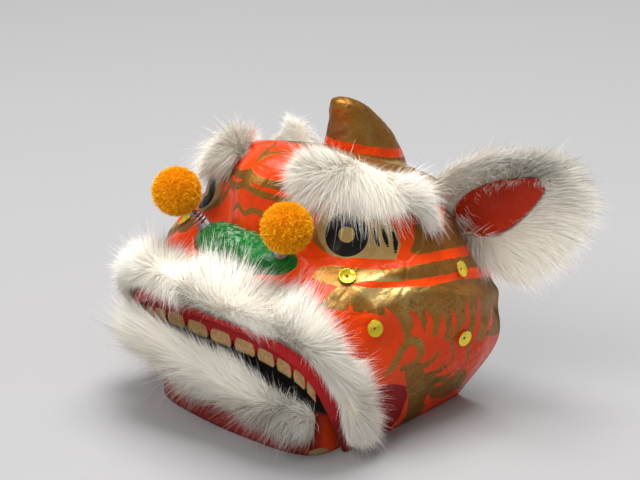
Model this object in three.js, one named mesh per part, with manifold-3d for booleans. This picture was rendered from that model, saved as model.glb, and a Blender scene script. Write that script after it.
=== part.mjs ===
// A small lion dance head of painted papier-mache with rabbit fur trim, as for a child's dance or a display.
// Millimetres, +Z up, the face looks along -Y and the lion's left is +X. It stands on its lower rim.
import * as THREE from "three";
import { mergeVertices } from "three/addons/utils/BufferGeometryUtils.js";
import Module from "manifold-3d";

const wasm = await Module();
wasm.setup();

// Driving sizes
const WALL = 2; // papier-mache wall of the head, the jaw and the horn
const CARD = 1.4; // card of the teeth and the ears
const SEAT = 0.35; // clearance under a glued piece
const RIM_BACK = 93; // the neck rim's plane: y at the floor
const RIM_LEAN = 0.23; // and how far back it leans for each mm of height
const ROUND_SIDES = 16; // sides of a rod, a bore or a post

// The head's ribs from the lip to the neck rim, a row for each rib, given on the lion's left side.
// crown is on the middle plane, and the others follow down to the foot on the floor.
const RIBS = [
  { rib: "lip edge", crown: [0, -25, 61], brow: [30, -24, 60], eye: [50, -21, 54],
    ridge: [62, -16, 42], cheek: [65, -6, 21], foot: [61, 7, 0] },
  { rib: "lip front", crown: [0, -27, 70], brow: [30, -26, 70], eye: [51, -21, 65],
    ridge: [65, -12, 52], cheek: [69, 1, 27], foot: [61.5, 14, 0] },
  { rib: "snout", crown: [0, -17, 80], brow: [28, -14, 81], eye: [49, -7, 80],
    ridge: [66, 3, 66], cheek: [73, 13, 36], foot: [62, 24, 0] },
  { rib: "nose back", crown: [0, 1, 90], brow: [22, 5, 91], eye: [44, 10, 88],
    ridge: [67, 19, 76], cheek: [77, 28, 43], foot: [62, 36, 0] },
  { rib: "bridge", crown: [0, 3, 107], brow: [20, 12, 104], eye: [45, 24, 97],
    ridge: [73, 36, 80], cheek: [79, 43, 46], foot: [62, 49, 0] },
  { rib: "forehead", crown: [0, 8, 124], brow: [22, 19, 120], eye: [52, 33, 109],
    ridge: [78, 52, 77], cheek: [82, 57, 45], foot: [62, 61, 0] },
  { rib: "top", crown: [0, 30, 132], brow: [32, 40, 127], eye: [60, 49, 109],
    ridge: [79, 68, 71], cheek: [84, 70, 42], foot: [62, 73, 0] },
  { rib: "horn seat", crown: [0, 70, 124], brow: [34, 72, 118], eye: [60, 77, 99],
    ridge: [76, 86, 65], cheek: [84, 84, 39], foot: [61.5, 84, 0] },
  { rib: "neck rim", crown: [0, 117, 104], brow: [30, 116, 100], eye: [50, 112, 84],
    ridge: [68, 104, 59], cheek: [79, 100, 35], foot: [61, 93, 0] },
];
const COLUMNS = ["crown", "brow", "eye", "ridge", "cheek", "foot"];
const SIDE_COLUMNS = COLUMNS.length - 1;

// Relief pressed out of the wall: rolls along the ribs' columns, and round swellings about a point.
const ROLLS = [
  { roll: "eyelid fold", column: 2.75, halfWidth: 0.15, height: 2.6, from: 2.4 },
  { roll: "cheek fold", column: 3.15, halfWidth: 0.22, height: 4.6, from: 2.2 },
];
const SWELLINGS = [
  { swelling: "eyeball", centre: [45, 24, 100], reach: 15, height: 4.5 },
  { swelling: "forehead boss", centre: [0, 14, 128], reach: 17, height: 4 },
];
const RELIEF_RAMP = 0.9; // ribs over which a roll rises from flat
const SLOPE_STEP = 0.02; // ribs or columns to each side of a point where its slope is taken
const GRID_RIBS = 22; // steps of the faceted head from lip to rim
// The facets' columns on one side, closest at the rolls
const GRID_COLUMNS = [0, 0.5, 1, 1.4, 1.8, 2.15, 2.45, 2.65, 2.8, 2.95, 3.15, 3.35, 3.65, 4, 4.35, 4.7, 5];

const PAINTS = {
  red_lacquer: { color: 0xe8401c, roughness: 0.35, metalness: 0 },
  crimson_lacquer: { color: 0x9e1530, roughness: 0.4, metalness: 0 },
  green_lacquer: { color: 0x0f7a35, roughness: 0.3, metalness: 0 },
  gold_leaf: { color: 0x8a6a2a, roughness: 0.35, metalness: 0.8 },
  rabbit_fur: { color: 0xefeae0, roughness: 0.95, metalness: 0 },
  yellow_wool: { color: 0xf5a800, roughness: 0.95, metalness: 0 },
  steel_wire: { color: 0x8d8f92, roughness: 0.35, metalness: 0.9 },
  black_tape: { color: 0x17171a, roughness: 0.6, metalness: 0 },
  sequin_gold: { color: 0xd9c01e, roughness: 0.2, metalness: 0.8 },
  bamboo: { color: 0xb58a4e, roughness: 0.7, metalness: 0 },
};

const vec = (p) => new THREE.Vector3(...p);
const clamp = THREE.MathUtils.clamp;
const smooth = THREE.MathUtils.smoothstep;

// Catmull-Rom through a row of points, at a position counted in points.
function splineAt(points, position) {
  const last = points.length - 1;
  const i = clamp(Math.floor(position), 0, last - 1);
  const u = position - i;
  const p1 = points[i];
  const p2 = points[i + 1];
  const p0 = i > 0 ? points[i - 1] : p1.map((v, k) => 2 * v - p2[k]);
  const p3 = i + 2 <= last ? points[i + 2] : p2.map((v, k) => 2 * v - p1[k]);
  return p1.map((v, k) => {
    const slope = p2[k] - p0[k];
    const bend = 2 * p0[k] - 5 * v + 4 * p2[k] - p3[k];
    const twist = 3 * v - p0[k] - 3 * p2[k] + p3[k];
    return 0.5 * (2 * v + slope * u + bend * u * u + twist * u * u * u);
  });
}

// The smooth surface under the relief. rib counts the ribs, column runs from -5 to 5 across the head.
function baseAt(rib, column) {
  const sides = COLUMNS.map((name) => splineAt(RIBS.map((row) => row[name]), rib));
  const mirrored = sides.slice(1).reverse().map(([x, y, z]) => [-x, y, z]);
  return vec(splineAt([...mirrored, ...sides], column + SIDE_COLUMNS));
}

function normalAt(rib, column) {
  const ribBy = (step) => clamp(rib + step, 0, RIBS.length - 1);
  const columnBy = (step) => clamp(column + step, -SIDE_COLUMNS, SIDE_COLUMNS);
  const alongRibs = baseAt(ribBy(SLOPE_STEP), column).sub(baseAt(ribBy(-SLOPE_STEP), column));
  const across = baseAt(rib, columnBy(SLOPE_STEP)).sub(baseAt(rib, columnBy(-SLOPE_STEP)));
  return across.cross(alongRibs).normalize();
}

function reliefAt(point, rib, column) {
  const rolls = ROLLS.map((r) => {
    const off = (Math.abs(column) - r.column) / r.halfWidth;
    return r.height * Math.exp(-off * off) * smooth(rib, r.from, r.from + RELIEF_RAMP);
  });
  const swellings = SWELLINGS.map((s) => {
    const off = vec([Math.abs(point.x), point.y, point.z]).distanceTo(vec(s.centre)) / s.reach;
    return s.height * Math.exp(-off * off);
  });
  return [...rolls, ...swellings].reduce((sum, v) => sum + v, 0);
}

// A point of the head at a distance outside its painted face, or inside it where negative.
function headAt(rib, column, outside = 0) {
  const point = baseAt(rib, column);
  const normal = normalAt(rib, column);
  point.addScaledVector(normal, reliefAt(point, rib, column) + outside);
  if (Math.abs(column) === SIDE_COLUMNS) point.z = 0;
  if (rib === RIBS.length - 1) point.y = RIM_BACK + RIM_LEAN * point.z;
  return point;
}

// Meshes: a solid from rings of points, from a wall between two grids, and to and from manifold-3d.
function meshOf(points, triangles) {
  const geometry = new THREE.BufferGeometry();
  geometry.setAttribute("position", new THREE.Float32BufferAttribute(points.flatMap((p) => p.toArray()), 3));
  geometry.setIndex(triangles);
  return geometry;
}

function facingOut(geometry) {
  const at = geometry.getAttribute("position");
  const index = geometry.getIndex().array;
  const corner = [new THREE.Vector3(), new THREE.Vector3(), new THREE.Vector3()];
  let volume = 0;
  for (let i = 0; i < index.length; i += 3) {
    corner.forEach((c, k) => c.fromBufferAttribute(at, index[i + k]));
    volume += corner[0].dot(corner[1].clone().cross(corner[2]));
  }
  if (volume > 0) return geometry;
  for (let i = 0; i < index.length; i += 3) [index[i + 1], index[i + 2]] = [index[i + 2], index[i + 1]];
  return geometry;
}

const sumOf = (points) => points.reduce((sum, p) => sum.add(p), new THREE.Vector3());
const middleOf = (points) => sumOf(points).divideScalar(points.length);

// Closed rings joined one to the next, with both ends filled round their middle point. Where tipOf gives
// a cell between two rings a tip, the cell is a pyramid.
function loft(rings, tipOf = () => null) {
  const n = rings[0].length;
  const points = rings.flat();
  const triangles = [];
  const fan = (corners, tip) => {
    points.push(tip);
    corners.forEach((a, k) => triangles.push(a, corners[(k + 1) % corners.length], points.length - 1));
  };
  for (let i = 0; i + 1 < rings.length; i++)
    for (let j = 0; j < n; j++) {
      const corners = [i * n + j, i * n + ((j + 1) % n), (i + 1) * n + ((j + 1) % n), (i + 1) * n + j];
      const tip = tipOf(middleOf(corners.map((k) => points[k])), i, j);
      if (tip) fan(corners, tip);
      else triangles.push(corners[0], corners[1], corners[2], corners[0], corners[2], corners[3]);
    }
  const ringOf = (i) => rings[i].map((_, j) => i * n + j);
  fan(ringOf(0).reverse(), middleOf(rings[0]));
  fan(ringOf(rings.length - 1), middleOf(rings[rings.length - 1]));
  return facingOut(meshOf(points, triangles));
}

// A wall between an outer and an inner grid of the same size, closed along its four edges.
function wall(outer, inner) {
  const rows = outer.length;
  const n = outer[0].length;
  const points = [...outer.flat(), ...inner.flat()];
  const triangles = [];
  const quad = (a, b, c, d) => triangles.push(a, b, c, a, c, d);
  const at = (i, j, side) => side * rows * n + i * n + j;
  for (let i = 0; i + 1 < rows; i++) {
    for (let j = 0; j + 1 < n; j++) {
      quad(at(i, j, 0), at(i, j + 1, 0), at(i + 1, j + 1, 0), at(i + 1, j, 0));
      quad(at(i, j, 1), at(i + 1, j, 1), at(i + 1, j + 1, 1), at(i, j + 1, 1));
    }
    quad(at(i, 0, 0), at(i + 1, 0, 0), at(i + 1, 0, 1), at(i, 0, 1));
    quad(at(i, n - 1, 0), at(i, n - 1, 1), at(i + 1, n - 1, 1), at(i + 1, n - 1, 0));
  }
  for (let j = 0; j + 1 < n; j++) {
    quad(at(0, j, 0), at(0, j, 1), at(0, j + 1, 1), at(0, j + 1, 0));
    quad(at(rows - 1, j, 0), at(rows - 1, j + 1, 0), at(rows - 1, j + 1, 1), at(rows - 1, j, 1));
  }
  return facingOut(meshOf(points, triangles));
}

function solidOf(geometry) {
  const plain = new THREE.BufferGeometry().setAttribute("position", geometry.getAttribute("position").clone());
  if (geometry.getIndex()) plain.setIndex(geometry.getIndex());
  const merged = mergeVertices(plain, 1e-3);
  return new wasm.Manifold(new wasm.Mesh({
    numProp: 3,
    vertProperties: new Float32Array(merged.getAttribute("position").array),
    triVerts: new Uint32Array(merged.getIndex().array),
  }));
}

function geometryOf(solid) {
  const mesh = solid.getMesh();
  const points = [];
  for (let i = 0; i < mesh.numVert * mesh.numProp; i += mesh.numProp)
    points.push(vec(mesh.vertProperties.subarray(i, i + 3)));
  return meshOf(points, [...mesh.triVerts]);
}

// The largest body of a solid, so that a cut leaves no crumbs.
const mainBody = (solid) => solid.decompose().sort((a, b) => b.volume() - a.volume())[0];

const steps = (count, from, to) => Array.from({ length: count + 1 }, (_, i) => from + ((to - from) * i) / count);

// The head's grid of points at a distance outside its painted face.
function headGrid(outside) {
  const columns = [...GRID_COLUMNS.slice(1).reverse().map((column) => -column), ...GRID_COLUMNS];
  return steps(GRID_RIBS, 0, RIBS.length - 1).map((rib) => columns.map((column) => headAt(rib, column, outside)));
}

// The head's shape as a solid to cut its neighbours with, down through the floor. It runs on past the
// lip and past the neck rim, which keeps the mouth and the neck opening clear.
const PAST_LIP = [0, 4, -24];
const PAST_RIM = [0, 60, 12];

function headVolume(outside) {
  const rings = headGrid(outside);
  for (const ring of rings) {
    ring[0].z = -WALL;
    ring[ring.length - 1].z = -WALL;
  }
  if (outside < 0) return solidOf(loft(rings));
  const pastLip = rings[0].map((p) => p.clone().add(vec(PAST_LIP)));
  const pastRim = rings[rings.length - 1].map((p) => p.clone().add(vec(PAST_RIM)));
  return solidOf(loft([pastLip, ...rings, pastRim]));
}

const outsideHead = headVolume(SEAT);
const insideHead = headVolume(-WALL - SEAT);
const seatOnHead = (geometry) => geometryOf(mainBody(solidOf(geometry).subtract(outsideHead)));

function headShell() {
  return wall(headGrid(0), headGrid(-WALL));
}

// Teeth: a card strip glued inside the lip, notched between the teeth.
const TEETH = { columns: 3.1, topRib: 0.55, lipRib: 0.12, drop: 13, taper: 0.35, count: 12 };
const NOTCH = { height: 5, halfWidth: 1.4, depth: 12 }; // three-sided, its height as a multiple of its half width

function teethStrip() {
  const columns = steps(TEETH.count, -TEETH.columns, TEETH.columns);
  const toothTip = (column, outside) => {
    const point = headAt(TEETH.lipRib, column, outside);
    point.z -= TEETH.drop * (1 - TEETH.taper * Math.pow(Math.abs(column) / TEETH.columns, 3));
    return point;
  };
  const face = (outside) => [
    columns.map((column) => headAt(TEETH.topRib, column, outside)),
    columns.map((column) => headAt(TEETH.lipRib, column, outside)),
    columns.map((column) => toothTip(column, outside)),
  ];
  const glued = -WALL - 2 * SEAT;
  const notch = new THREE.CylinderGeometry(NOTCH.halfWidth, NOTCH.halfWidth, NOTCH.depth, 3);
  notch.scale(1, 1, NOTCH.height);
  const strip = columns.slice(1, -1).reduce((rest, column) => {
    const cut = notch.clone().translate(...toothTip(column, glued).toArray());
    return rest.subtract(solidOf(cut));
  }, solidOf(wall(face(glued), face(glued - CARD))));
  return geometryOf(mainBody(strip));
}

// Lower jaw: a tray whose two arms turn on a bamboo rod inside the head.
const JAW_OUTLINE = [
  { place: "arm end", x: 50, y: 53, height: 17, flare: 0 },
  { place: "arm", x: 54, y: 32, height: 15, flare: 0 },
  { place: "mouth corner", x: 56, y: 10, height: 17, flare: 0.4 },
  { place: "corner turn", x: 53, y: -5, height: 24, flare: 2.5 },
  { place: "front side", x: 40, y: -12, height: 31, flare: 5 },
  { place: "front", x: 20, y: -14.5, height: 34, flare: 6.5 },
  { place: "middle", x: 0, y: -15.5, height: 35, flare: 7 },
];
const JAW_STEPS = 30;
const HINGE = { y: 46, z: 9, rod: 2, bore: 2.3, length: 200 };

// place runs from -6 at the left arm's end through 0 at the middle of the lip to 6.
function jawAt(place, level, inward) {
  const half = [...JAW_OUTLINE].reverse().map((row) => [row.x, row.y, row.height, row.flare]);
  const whole = [...half.slice(1).reverse().map(([x, ...rest]) => [-x, ...rest]), ...half];
  const span = half.length - 1;
  const [x, y, height, flare] = splineAt(whole, place + span);
  const before = splineAt(whole, Math.max(place + span - SLOPE_STEP, 0));
  const after = splineAt(whole, Math.min(place + span + SLOPE_STEP, 2 * span));
  const tangent = new THREE.Vector2(after[0] - before[0], after[1] - before[1]).normalize();
  const out = flare * level * level - inward;
  return vec([x + tangent.y * out, y - tangent.x * out, height * level]);
}

const jawPlaces = steps(JAW_STEPS, -JAW_OUTLINE.length + 1, JAW_OUTLINE.length - 1);

function jawWall(grown) {
  const levels = [0, 0.5, 1 + grown / JAW_OUTLINE[0].height];
  const grid = (inward) => levels.map((level) => jawPlaces.map((place) => jawAt(place, level, inward)));
  return solidOf(wall(grid(-grown), grid(WALL + grown)));
}

function lowerJaw() {
  const edge = jawPlaces.map((place) => jawAt(place, 0, WALL / 2));
  const outline = new THREE.Shape(edge.map((p) => new THREE.Vector2(p.x, p.y)));
  const floor = solidOf(new THREE.ExtrudeGeometry(outline, { depth: WALL, bevelEnabled: false }));
  return geometryOf(mainBody(jawWall(0).add(floor).subtract(hingeRod(HINGE.bore))));
}

function hingeRod(radius) {
  const rod = new THREE.CylinderGeometry(radius, radius, HINGE.length, ROUND_SIDES).rotateZ(Math.PI / 2);
  return solidOf(rod.translate(0, HINGE.y, HINGE.z));
}

const jawRod = () => geometryOf(mainBody(hingeRod(HINGE.rod).intersect(insideHead)));

// Feelers: a pompom on a coil spring, with a stiff wire up its middle, beside each end of the nose.
const FEELER = { foot: [24, 1.5, 92.5], top: [37, -7, 112], pompom: 12.2, core: 11.4 };
const WIRE = { coil: 3.3, coilTop: 2.3, thick: 0.45, stem: 0.5, sides: 5, stemSides: 8 };
const COIL = { closeTurns: 3, closePitch: 1.15, openTurns: 4, openPitch: 2.4, stepsPerTurn: 6 };

function feelerFrame(side) {
  const foot = vec(FEELER.foot);
  const group = new THREE.Group();
  group.position.set(side * foot.x, foot.y, foot.z);
  const aim = vec(FEELER.top).sub(foot);
  aim.x *= side;
  group.quaternion.setFromUnitVectors(vec([0, 0, 1]), aim.normalize());
  return group;
}

const FEELER_REACH = vec(FEELER.top).distanceTo(vec(FEELER.foot));
const SPRING_BASE = { radius: 4, height: 1.6, depth: 14 };
const STEM_FROM = SPRING_BASE.height + SEAT;

// The post that a spring is taped to, through the nose and down to the wall of the head.
function springPost(side, radius, height) {
  const frame = feelerFrame(side);
  frame.updateMatrix();
  const length = height + SPRING_BASE.depth;
  const post = new THREE.CylinderGeometry(radius, radius, length, ROUND_SIDES).rotateX(Math.PI / 2);
  return post.translate(0, 0, height - length / 2).applyMatrix4(frame.matrix);
}

function coilSpring() {
  const turns = COIL.closeTurns + COIL.openTurns;
  const points = steps(turns * COIL.stepsPerTurn, 0, turns).map((turn) => {
    const open = Math.max(turn - COIL.closeTurns, 0);
    const height = Math.min(turn, COIL.closeTurns) * COIL.closePitch + open * COIL.openPitch;
    const radius = THREE.MathUtils.lerp(WIRE.coil, WIRE.coilTop, smooth(open, 0.5, COIL.openTurns));
    return vec([radius * Math.cos(2 * Math.PI * turn), radius * Math.sin(2 * Math.PI * turn), height]);
  });
  const around = steps(WIRE.sides, 0, 2 * Math.PI).slice(0, -1);
  const corners = around.map((a) => new THREE.Vector2(WIRE.thick * Math.cos(a), WIRE.thick * Math.sin(a)));
  const coil = new THREE.ExtrudeGeometry(new THREE.Shape(corners), {
    steps: turns * COIL.stepsPerTurn,
    extrudePath: new THREE.CatmullRomCurve3(points),
    bevelEnabled: false,
  });
  const room = FEELER_REACH - FEELER.pompom - STEM_FROM - 2 * WIRE.thick;
  coil.scale(1, 1, room / (COIL.closeTurns * COIL.closePitch + COIL.openTurns * COIL.openPitch));
  return coil.translate(0, 0, STEM_FROM + WIRE.thick);
}

function stem() {
  const length = FEELER_REACH - FEELER.core - SEAT - STEM_FROM;
  const wire = new THREE.CylinderGeometry(WIRE.stem, WIRE.stem, length, WIRE.stemSides).rotateX(Math.PI / 2);
  return wire.translate(0, 0, STEM_FROM + length / 2);
}

// A pompom is a ball with one point of wool on each facet.
function pompom() {
  const facets = new THREE.IcosahedronGeometry(FEELER.core, 1).deleteAttribute("normal").deleteAttribute("uv");
  const ball = mergeVertices(facets, 1e-3);
  const at = ball.getAttribute("position");
  const points = Array.from({ length: at.count }, (_, i) => new THREE.Vector3().fromBufferAttribute(at, i));
  const index = ball.getIndex().array;
  const triangles = [];
  for (let i = 0; i < index.length; i += 3) {
    const corners = [index[i], index[i + 1], index[i + 2]];
    points.push(sumOf(corners.map((k) => points[k])).setLength(2 * FEELER.pompom - FEELER.core));
    corners.forEach((corner, k) => triangles.push(corner, corners[(k + 1) % 3], points.length - 1));
  }
  return facingOut(meshOf(points, triangles));
}

// Nose: a wide bean on the snout.
const NOSE = { centre: [0, 1, 84], half: [34, 13, 16], sweep: 4, fullness: 2.6, rings: 10, sides: 12 };

function nose() {
  const rings = steps(NOSE.rings, -1, 1).slice(1, -1).map((u) => {
    const shrink = Math.sqrt(1 - Math.pow(Math.abs(u), NOSE.fullness));
    return steps(NOSE.sides, 0, 2 * Math.PI).slice(0, -1).map((angle) => {
      const off = vec(NOSE.half).multiply(vec([u, shrink * Math.cos(angle), shrink * Math.sin(angle)]));
      return off.add(vec(NOSE.centre)).add(vec([0, NOSE.sweep * u * u, 0]));
    });
  });
  const bored = [1, -1].reduce(
    (rest, side) => rest.subtract(solidOf(springPost(side, SPRING_BASE.radius + SEAT, SPRING_BASE.depth))),
    solidOf(loft(rings)).subtract(outsideHead),
  );
  return geometryOf(mainBody(bored));
}

// Horn: a hollow fin, rounded at its tip, whose front edge is nearly straight.
const HORN = [
  { level: "root", y: 89, z: 94, deep: 24, wide: 21 },
  { level: "bead", y: 89, z: 109, deep: 23.5, wide: 20 },
  { level: "band", y: 87.5, z: 121, deep: 22, wide: 17.5 },
  { level: "middle", y: 84, z: 133, deep: 17.5, wide: 13.5 },
  { level: "shoulder", y: 78, z: 143, deep: 12, wide: 9.5 },
  { level: "tip", y: 73.5, z: 149.5, deep: 6, wide: 5.5 },
];
const HORN_SIDES = 14;
const HORN_STEPS = 13;
const HORN_LEAN = 0.28; // how far a ring's back drops for each mm behind its middle
const HORN_FLOOR = -0.5; // the hollow starts below the root
const BEAD = { level: 1.15, halfWidth: 0.2, height: 2.2 };

function hornRing(level, inward) {
  const [y, z, deep, wide] = splineAt(HORN.map((row) => [row.y, row.z, row.deep, row.wide]), level);
  const off = (level - BEAD.level) / BEAD.halfWidth;
  const out = BEAD.height * Math.exp(-off * off) - inward;
  return steps(HORN_SIDES, 0, 2 * Math.PI).slice(0, -1).map((angle) => {
    const back = (deep + out) * Math.cos(angle);
    return vec([(wide + out) * Math.sin(angle), y + back, z - HORN_LEAN * back]);
  });
}

function horn() {
  const tip = HORN.length - 1;
  const { wide } = HORN[tip];
  const crown = hornRing(tip, wide / 2).map((p) => p.add(vec([0, 0, wide / 4])));
  const outer = solidOf(loft([...steps(HORN_STEPS, 0, tip).map((level) => hornRing(level, 0)), crown]));
  const hollow = solidOf(loft(steps(HORN_STEPS, HORN_FLOOR, tip - 1).map((level) => hornRing(level, WALL))));
  return geometryOf(mainBody(outer.subtract(outsideHead).subtract(hollow)));
}

// A strip of fur: a closed backing whose pile face is one pointed lock to a cell. Each station along it is
// { at, out, up, wide, high }, with up across the strip, and the locks are combed along up.
const PILE_CELLS = 4;
const PILE_ARC = Math.PI / 2.1; // from the crest of the pile to the strip's edge
const CREST_FLAT = 0.9; // keeps the pile's height above nothing at its edge
const HIDE = { depth: 5, narrow: 0.75 }; // the backing under the pile, cut off where it meets its seat
const FULL_PILE = 6; // a lock is shortened where the pile is lower than this

function furStrip(stations, lock, comb) {
  const rings = stations.map(({ at, out, up, wide, high }) => {
    const place = (across, lift) => at.clone().addScaledVector(up, across).addScaledVector(out, lift);
    const across = steps(PILE_CELLS, -PILE_ARC, PILE_ARC);
    const pile = across.map((a) => place(wide * Math.sin(a), high * Math.cos(CREST_FLAT * a)));
    return [...pile, place(HIDE.narrow * wide, -HIDE.depth), place(-HIDE.narrow * wide, -HIDE.depth)];
  });
  return loft(rings, (middle, i, j) => {
    if (j >= PILE_CELLS) return null;
    const { at, out, up, high } = stations[i];
    const reach = lock * (0.75 + 0.25 * Math.sin(2.4 * i + 1.7 * j)) * Math.min(1, high / FULL_PILE);
    const away = middle.clone().sub(at).normalize().addScaledVector(up, comb).addScaledVector(out, 0.1);
    return middle.addScaledVector(away, reach);
  });
}

// Upper lip: one strip round the whole mouth arch, from foot to foot.
const LIP_FUR = { rib: 0.95, columns: 4.5, steps: 28, wide: 11, high: 10, lock: 8, comb: 0.15 };

const endFade = (place, end, sharpness) => Math.sqrt(1 - Math.pow(Math.abs(place) / end, sharpness));

function lipFur(grown = 0) {
  const stations = steps(LIP_FUR.steps, -LIP_FUR.columns, LIP_FUR.columns).map((column) => {
    const at = headAt(LIP_FUR.rib, column);
    const up = headAt(LIP_FUR.rib + 0.25, column).sub(headAt(LIP_FUR.rib - 0.25, column)).normalize();
    const fade = endFade(column, LIP_FUR.columns + 0.3, 6);
    const [wide, high] = [LIP_FUR.wide, LIP_FUR.high].map((size) => size * fade + grown);
    return { at, out: normalAt(LIP_FUR.rib, column), up, wide, high };
  });
  return seatOnHead(furStrip(stations, LIP_FUR.lock + grown, LIP_FUR.comb));
}

// Lower lip: a strip on the front of the jaw.
const JAW_FUR = { places: 3.2, steps: 20, level: 0.94, wide: 9.5, high: 8.5, lock: 6.5, comb: 0.1 };
const MOUTH_GAP = 1; // the lip fur is taken this much larger where it cuts the jaw fur

function jawFur() {
  const stations = steps(JAW_FUR.steps, -JAW_FUR.places, JAW_FUR.places).map((place) => {
    const at = jawAt(place, JAW_FUR.level, 0);
    const out = jawAt(place, JAW_FUR.level, -1).sub(at).normalize();
    const up = jawAt(place, 1, 0).sub(jawAt(place, 0.5, 0)).normalize();
    const fade = endFade(place, JAW_FUR.places + 0.15, 6);
    return { at, out, up, wide: JAW_FUR.wide * fade, high: JAW_FUR.high * fade };
  });
  const neighbours = [jawWall(SEAT), solidOf(lipFur(MOUTH_GAP))];
  const fur = solidOf(furStrip(stations, JAW_FUR.lock, JAW_FUR.comb));
  return geometryOf(mainBody(neighbours.reduce((rest, neighbour) => rest.subtract(neighbour), fur)));
}

// Brows: a strip over each eye, from beside the boss to the temple.
const BROW = { start: [5.3, 0.68], end: [6.8, 1.95], steps: 9, wide: 11, high: 8, lock: 7 };

function browFur(side) {
  const spotAt = (u) => {
    const [rib, column] = BROW.start.map((start, k) => start + (BROW.end[k] - start) * u);
    return [rib, side * column];
  };
  const stations = steps(BROW.steps, 0, 1).map((u) => {
    const out = normalAt(...spotAt(u));
    const forward = headAt(...spotAt(u + 0.02)).sub(headAt(...spotAt(u - 0.02)));
    const fade = endFade(2 * u - 1, 1.01, 4);
    const up = out.clone().cross(forward).normalize();
    return { at: headAt(...spotAt(u)), out, up, wide: BROW.wide * fade, high: BROW.high * fade };
  });
  return seatOnHead(furStrip(stations, BROW.lock, 0));
}

// Ears: a cupped red card leaf in front of a fur pad. A leaf's own axes are along, across and facing.
const EAR = { yaw: 22, root: -6, length: 50, halfWidth: 12.5, cup: 0.016, gap: 1.1 };
const EARS = [
  { hand: "left", side: 1, root: [58, 100, 93], lift: 32, pitch: 0 },
  { hand: "right", side: -1, root: [57, 98, 85], lift: 10, pitch: 40 }, // has sagged back
];
const EAR_PAD = [
  { along: -8, low: -8, high: 24, thick: 6 },
  { along: 2, low: -26, high: 30, thick: 9 },
  { along: 16, low: -34, high: 32, thick: 10 },
  { along: 30, low: -34, high: 27, thick: 10 },
  { along: 43, low: -26, high: 19, thick: 9 },
  { along: 52, low: -12, high: 9, thick: 6 },
];
const PAD_CELLS = 5;
const PAD_MIDDLE = [24, -5, -2]; // the locks point away from here
const PAD_LOCK = 7;

function earMatrix({ side, root, lift, pitch }) {
  const turn = (degrees) => THREE.MathUtils.degToRad(degrees);
  return [
    new THREE.Matrix4().makeTranslation(...root),
    new THREE.Matrix4().makeRotationX(-turn(pitch)),
    new THREE.Matrix4().makeRotationZ(turn(EAR.yaw)),
    new THREE.Matrix4().makeRotationX(turn(90)),
    new THREE.Matrix4().makeRotationZ(turn(lift)),
  ].reduce((place, move) => place.multiply(move), new THREE.Matrix4().makeScale(side, 1, 1));
}

const cupAt = (across) => EAR.cup * across * across;

function earLeaf(ear) {
  const rows = steps(7, 0, 1).map((u) => {
    const half = EAR.halfWidth * Math.pow(Math.sin(Math.PI * (0.06 + 0.9 * Math.pow(u, 0.8))), 0.7);
    return steps(4, -half, half).map((across) => [EAR.root + EAR.length * u, across, cupAt(across)]);
  });
  const grid = (facing) => rows.map((row) => row.map((p) => vec(p).add(vec([0, 0, facing]))));
  return seatOnHead(facingOut(wall(grid(EAR.gap), grid(EAR.gap + CARD)).applyMatrix4(earMatrix(ear))));
}

function earPad(ear) {
  const table = EAR_PAD.map((row) => [row.along, row.low, row.high, row.thick]);
  const rings = steps(8, 0, EAR_PAD.length - 1).map((level) => {
    const [along, low, high, thick] = splineAt(table, level);
    const front = steps(PAD_CELLS, low, high).map((across) => vec([along, across, cupAt(across)]));
    const back = steps(PAD_CELLS + 1, 0, 1).slice(1, -1).map((u) => {
      const across = high + (low - high) * u;
      return vec([along, across, cupAt(across) - thick * Math.sin(Math.PI * u)]);
    });
    return [...front, ...back];
  });
  const pad = loft(rings, (middle, i, j) => {
    if (j > 0 && j < PAD_CELLS - 1) return null;
    const away = middle.clone().sub(vec(PAD_MIDDLE)).normalize();
    return middle.addScaledVector(away, PAD_LOCK * (1 + 0.3 * Math.sin(2.1 * i + 1.3 * j)));
  });
  return seatOnHead(facingOut(pad.applyMatrix4(earMatrix(ear))));
}

// Sequins: cupped discs with a thread hole, laid on the painted wall at a rib and a column.
const SEQUIN = { radius: 4, hole: 0.7, cup: 0.7, thick: 0.35, sides: 12, lift: 0.5 };
const SEQUINS = [
  { spot: "snout", rib: 3.1, column: 2.42 },
  { spot: "temple", rib: 6.3, column: 2.74 },
  { spot: "cheek_front", rib: 2.6, column: 3.3 },
  { spot: "cheek_back", rib: 5.7, column: 3.86 },
];

function sequin() {
  const { radius, hole, cup, thick, sides } = SEQUIN;
  const profile = [[hole, 0], [radius, cup], [radius, cup + thick], [hole, thick], [hole, 0]];
  return new THREE.LatheGeometry(profile.map(([r, z]) => new THREE.Vector2(r, z)), sides).rotateX(Math.PI / 2);
}

// The assembly
const head = new THREE.Group();

function addPiece(name, geometry, paint, parent = head) {
  const mesh = new THREE.Mesh(geometry, new THREE.MeshStandardMaterial(PAINTS[paint]));
  mesh.name = name;
  parent.add(mesh);
  return mesh;
}

addPiece("head_shell", headShell(), "red_lacquer");
addPiece("upper_teeth", teethStrip(), "crimson_lacquer");
addPiece("lower_jaw", lowerJaw(), "crimson_lacquer");
addPiece("jaw_rod", jawRod(), "bamboo");
addPiece("nose", nose(), "green_lacquer");
addPiece("horn", horn(), "gold_leaf");
addPiece("lip_fur", lipFur(), "rabbit_fur");
addPiece("jaw_fur", jawFur(), "rabbit_fur");

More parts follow.
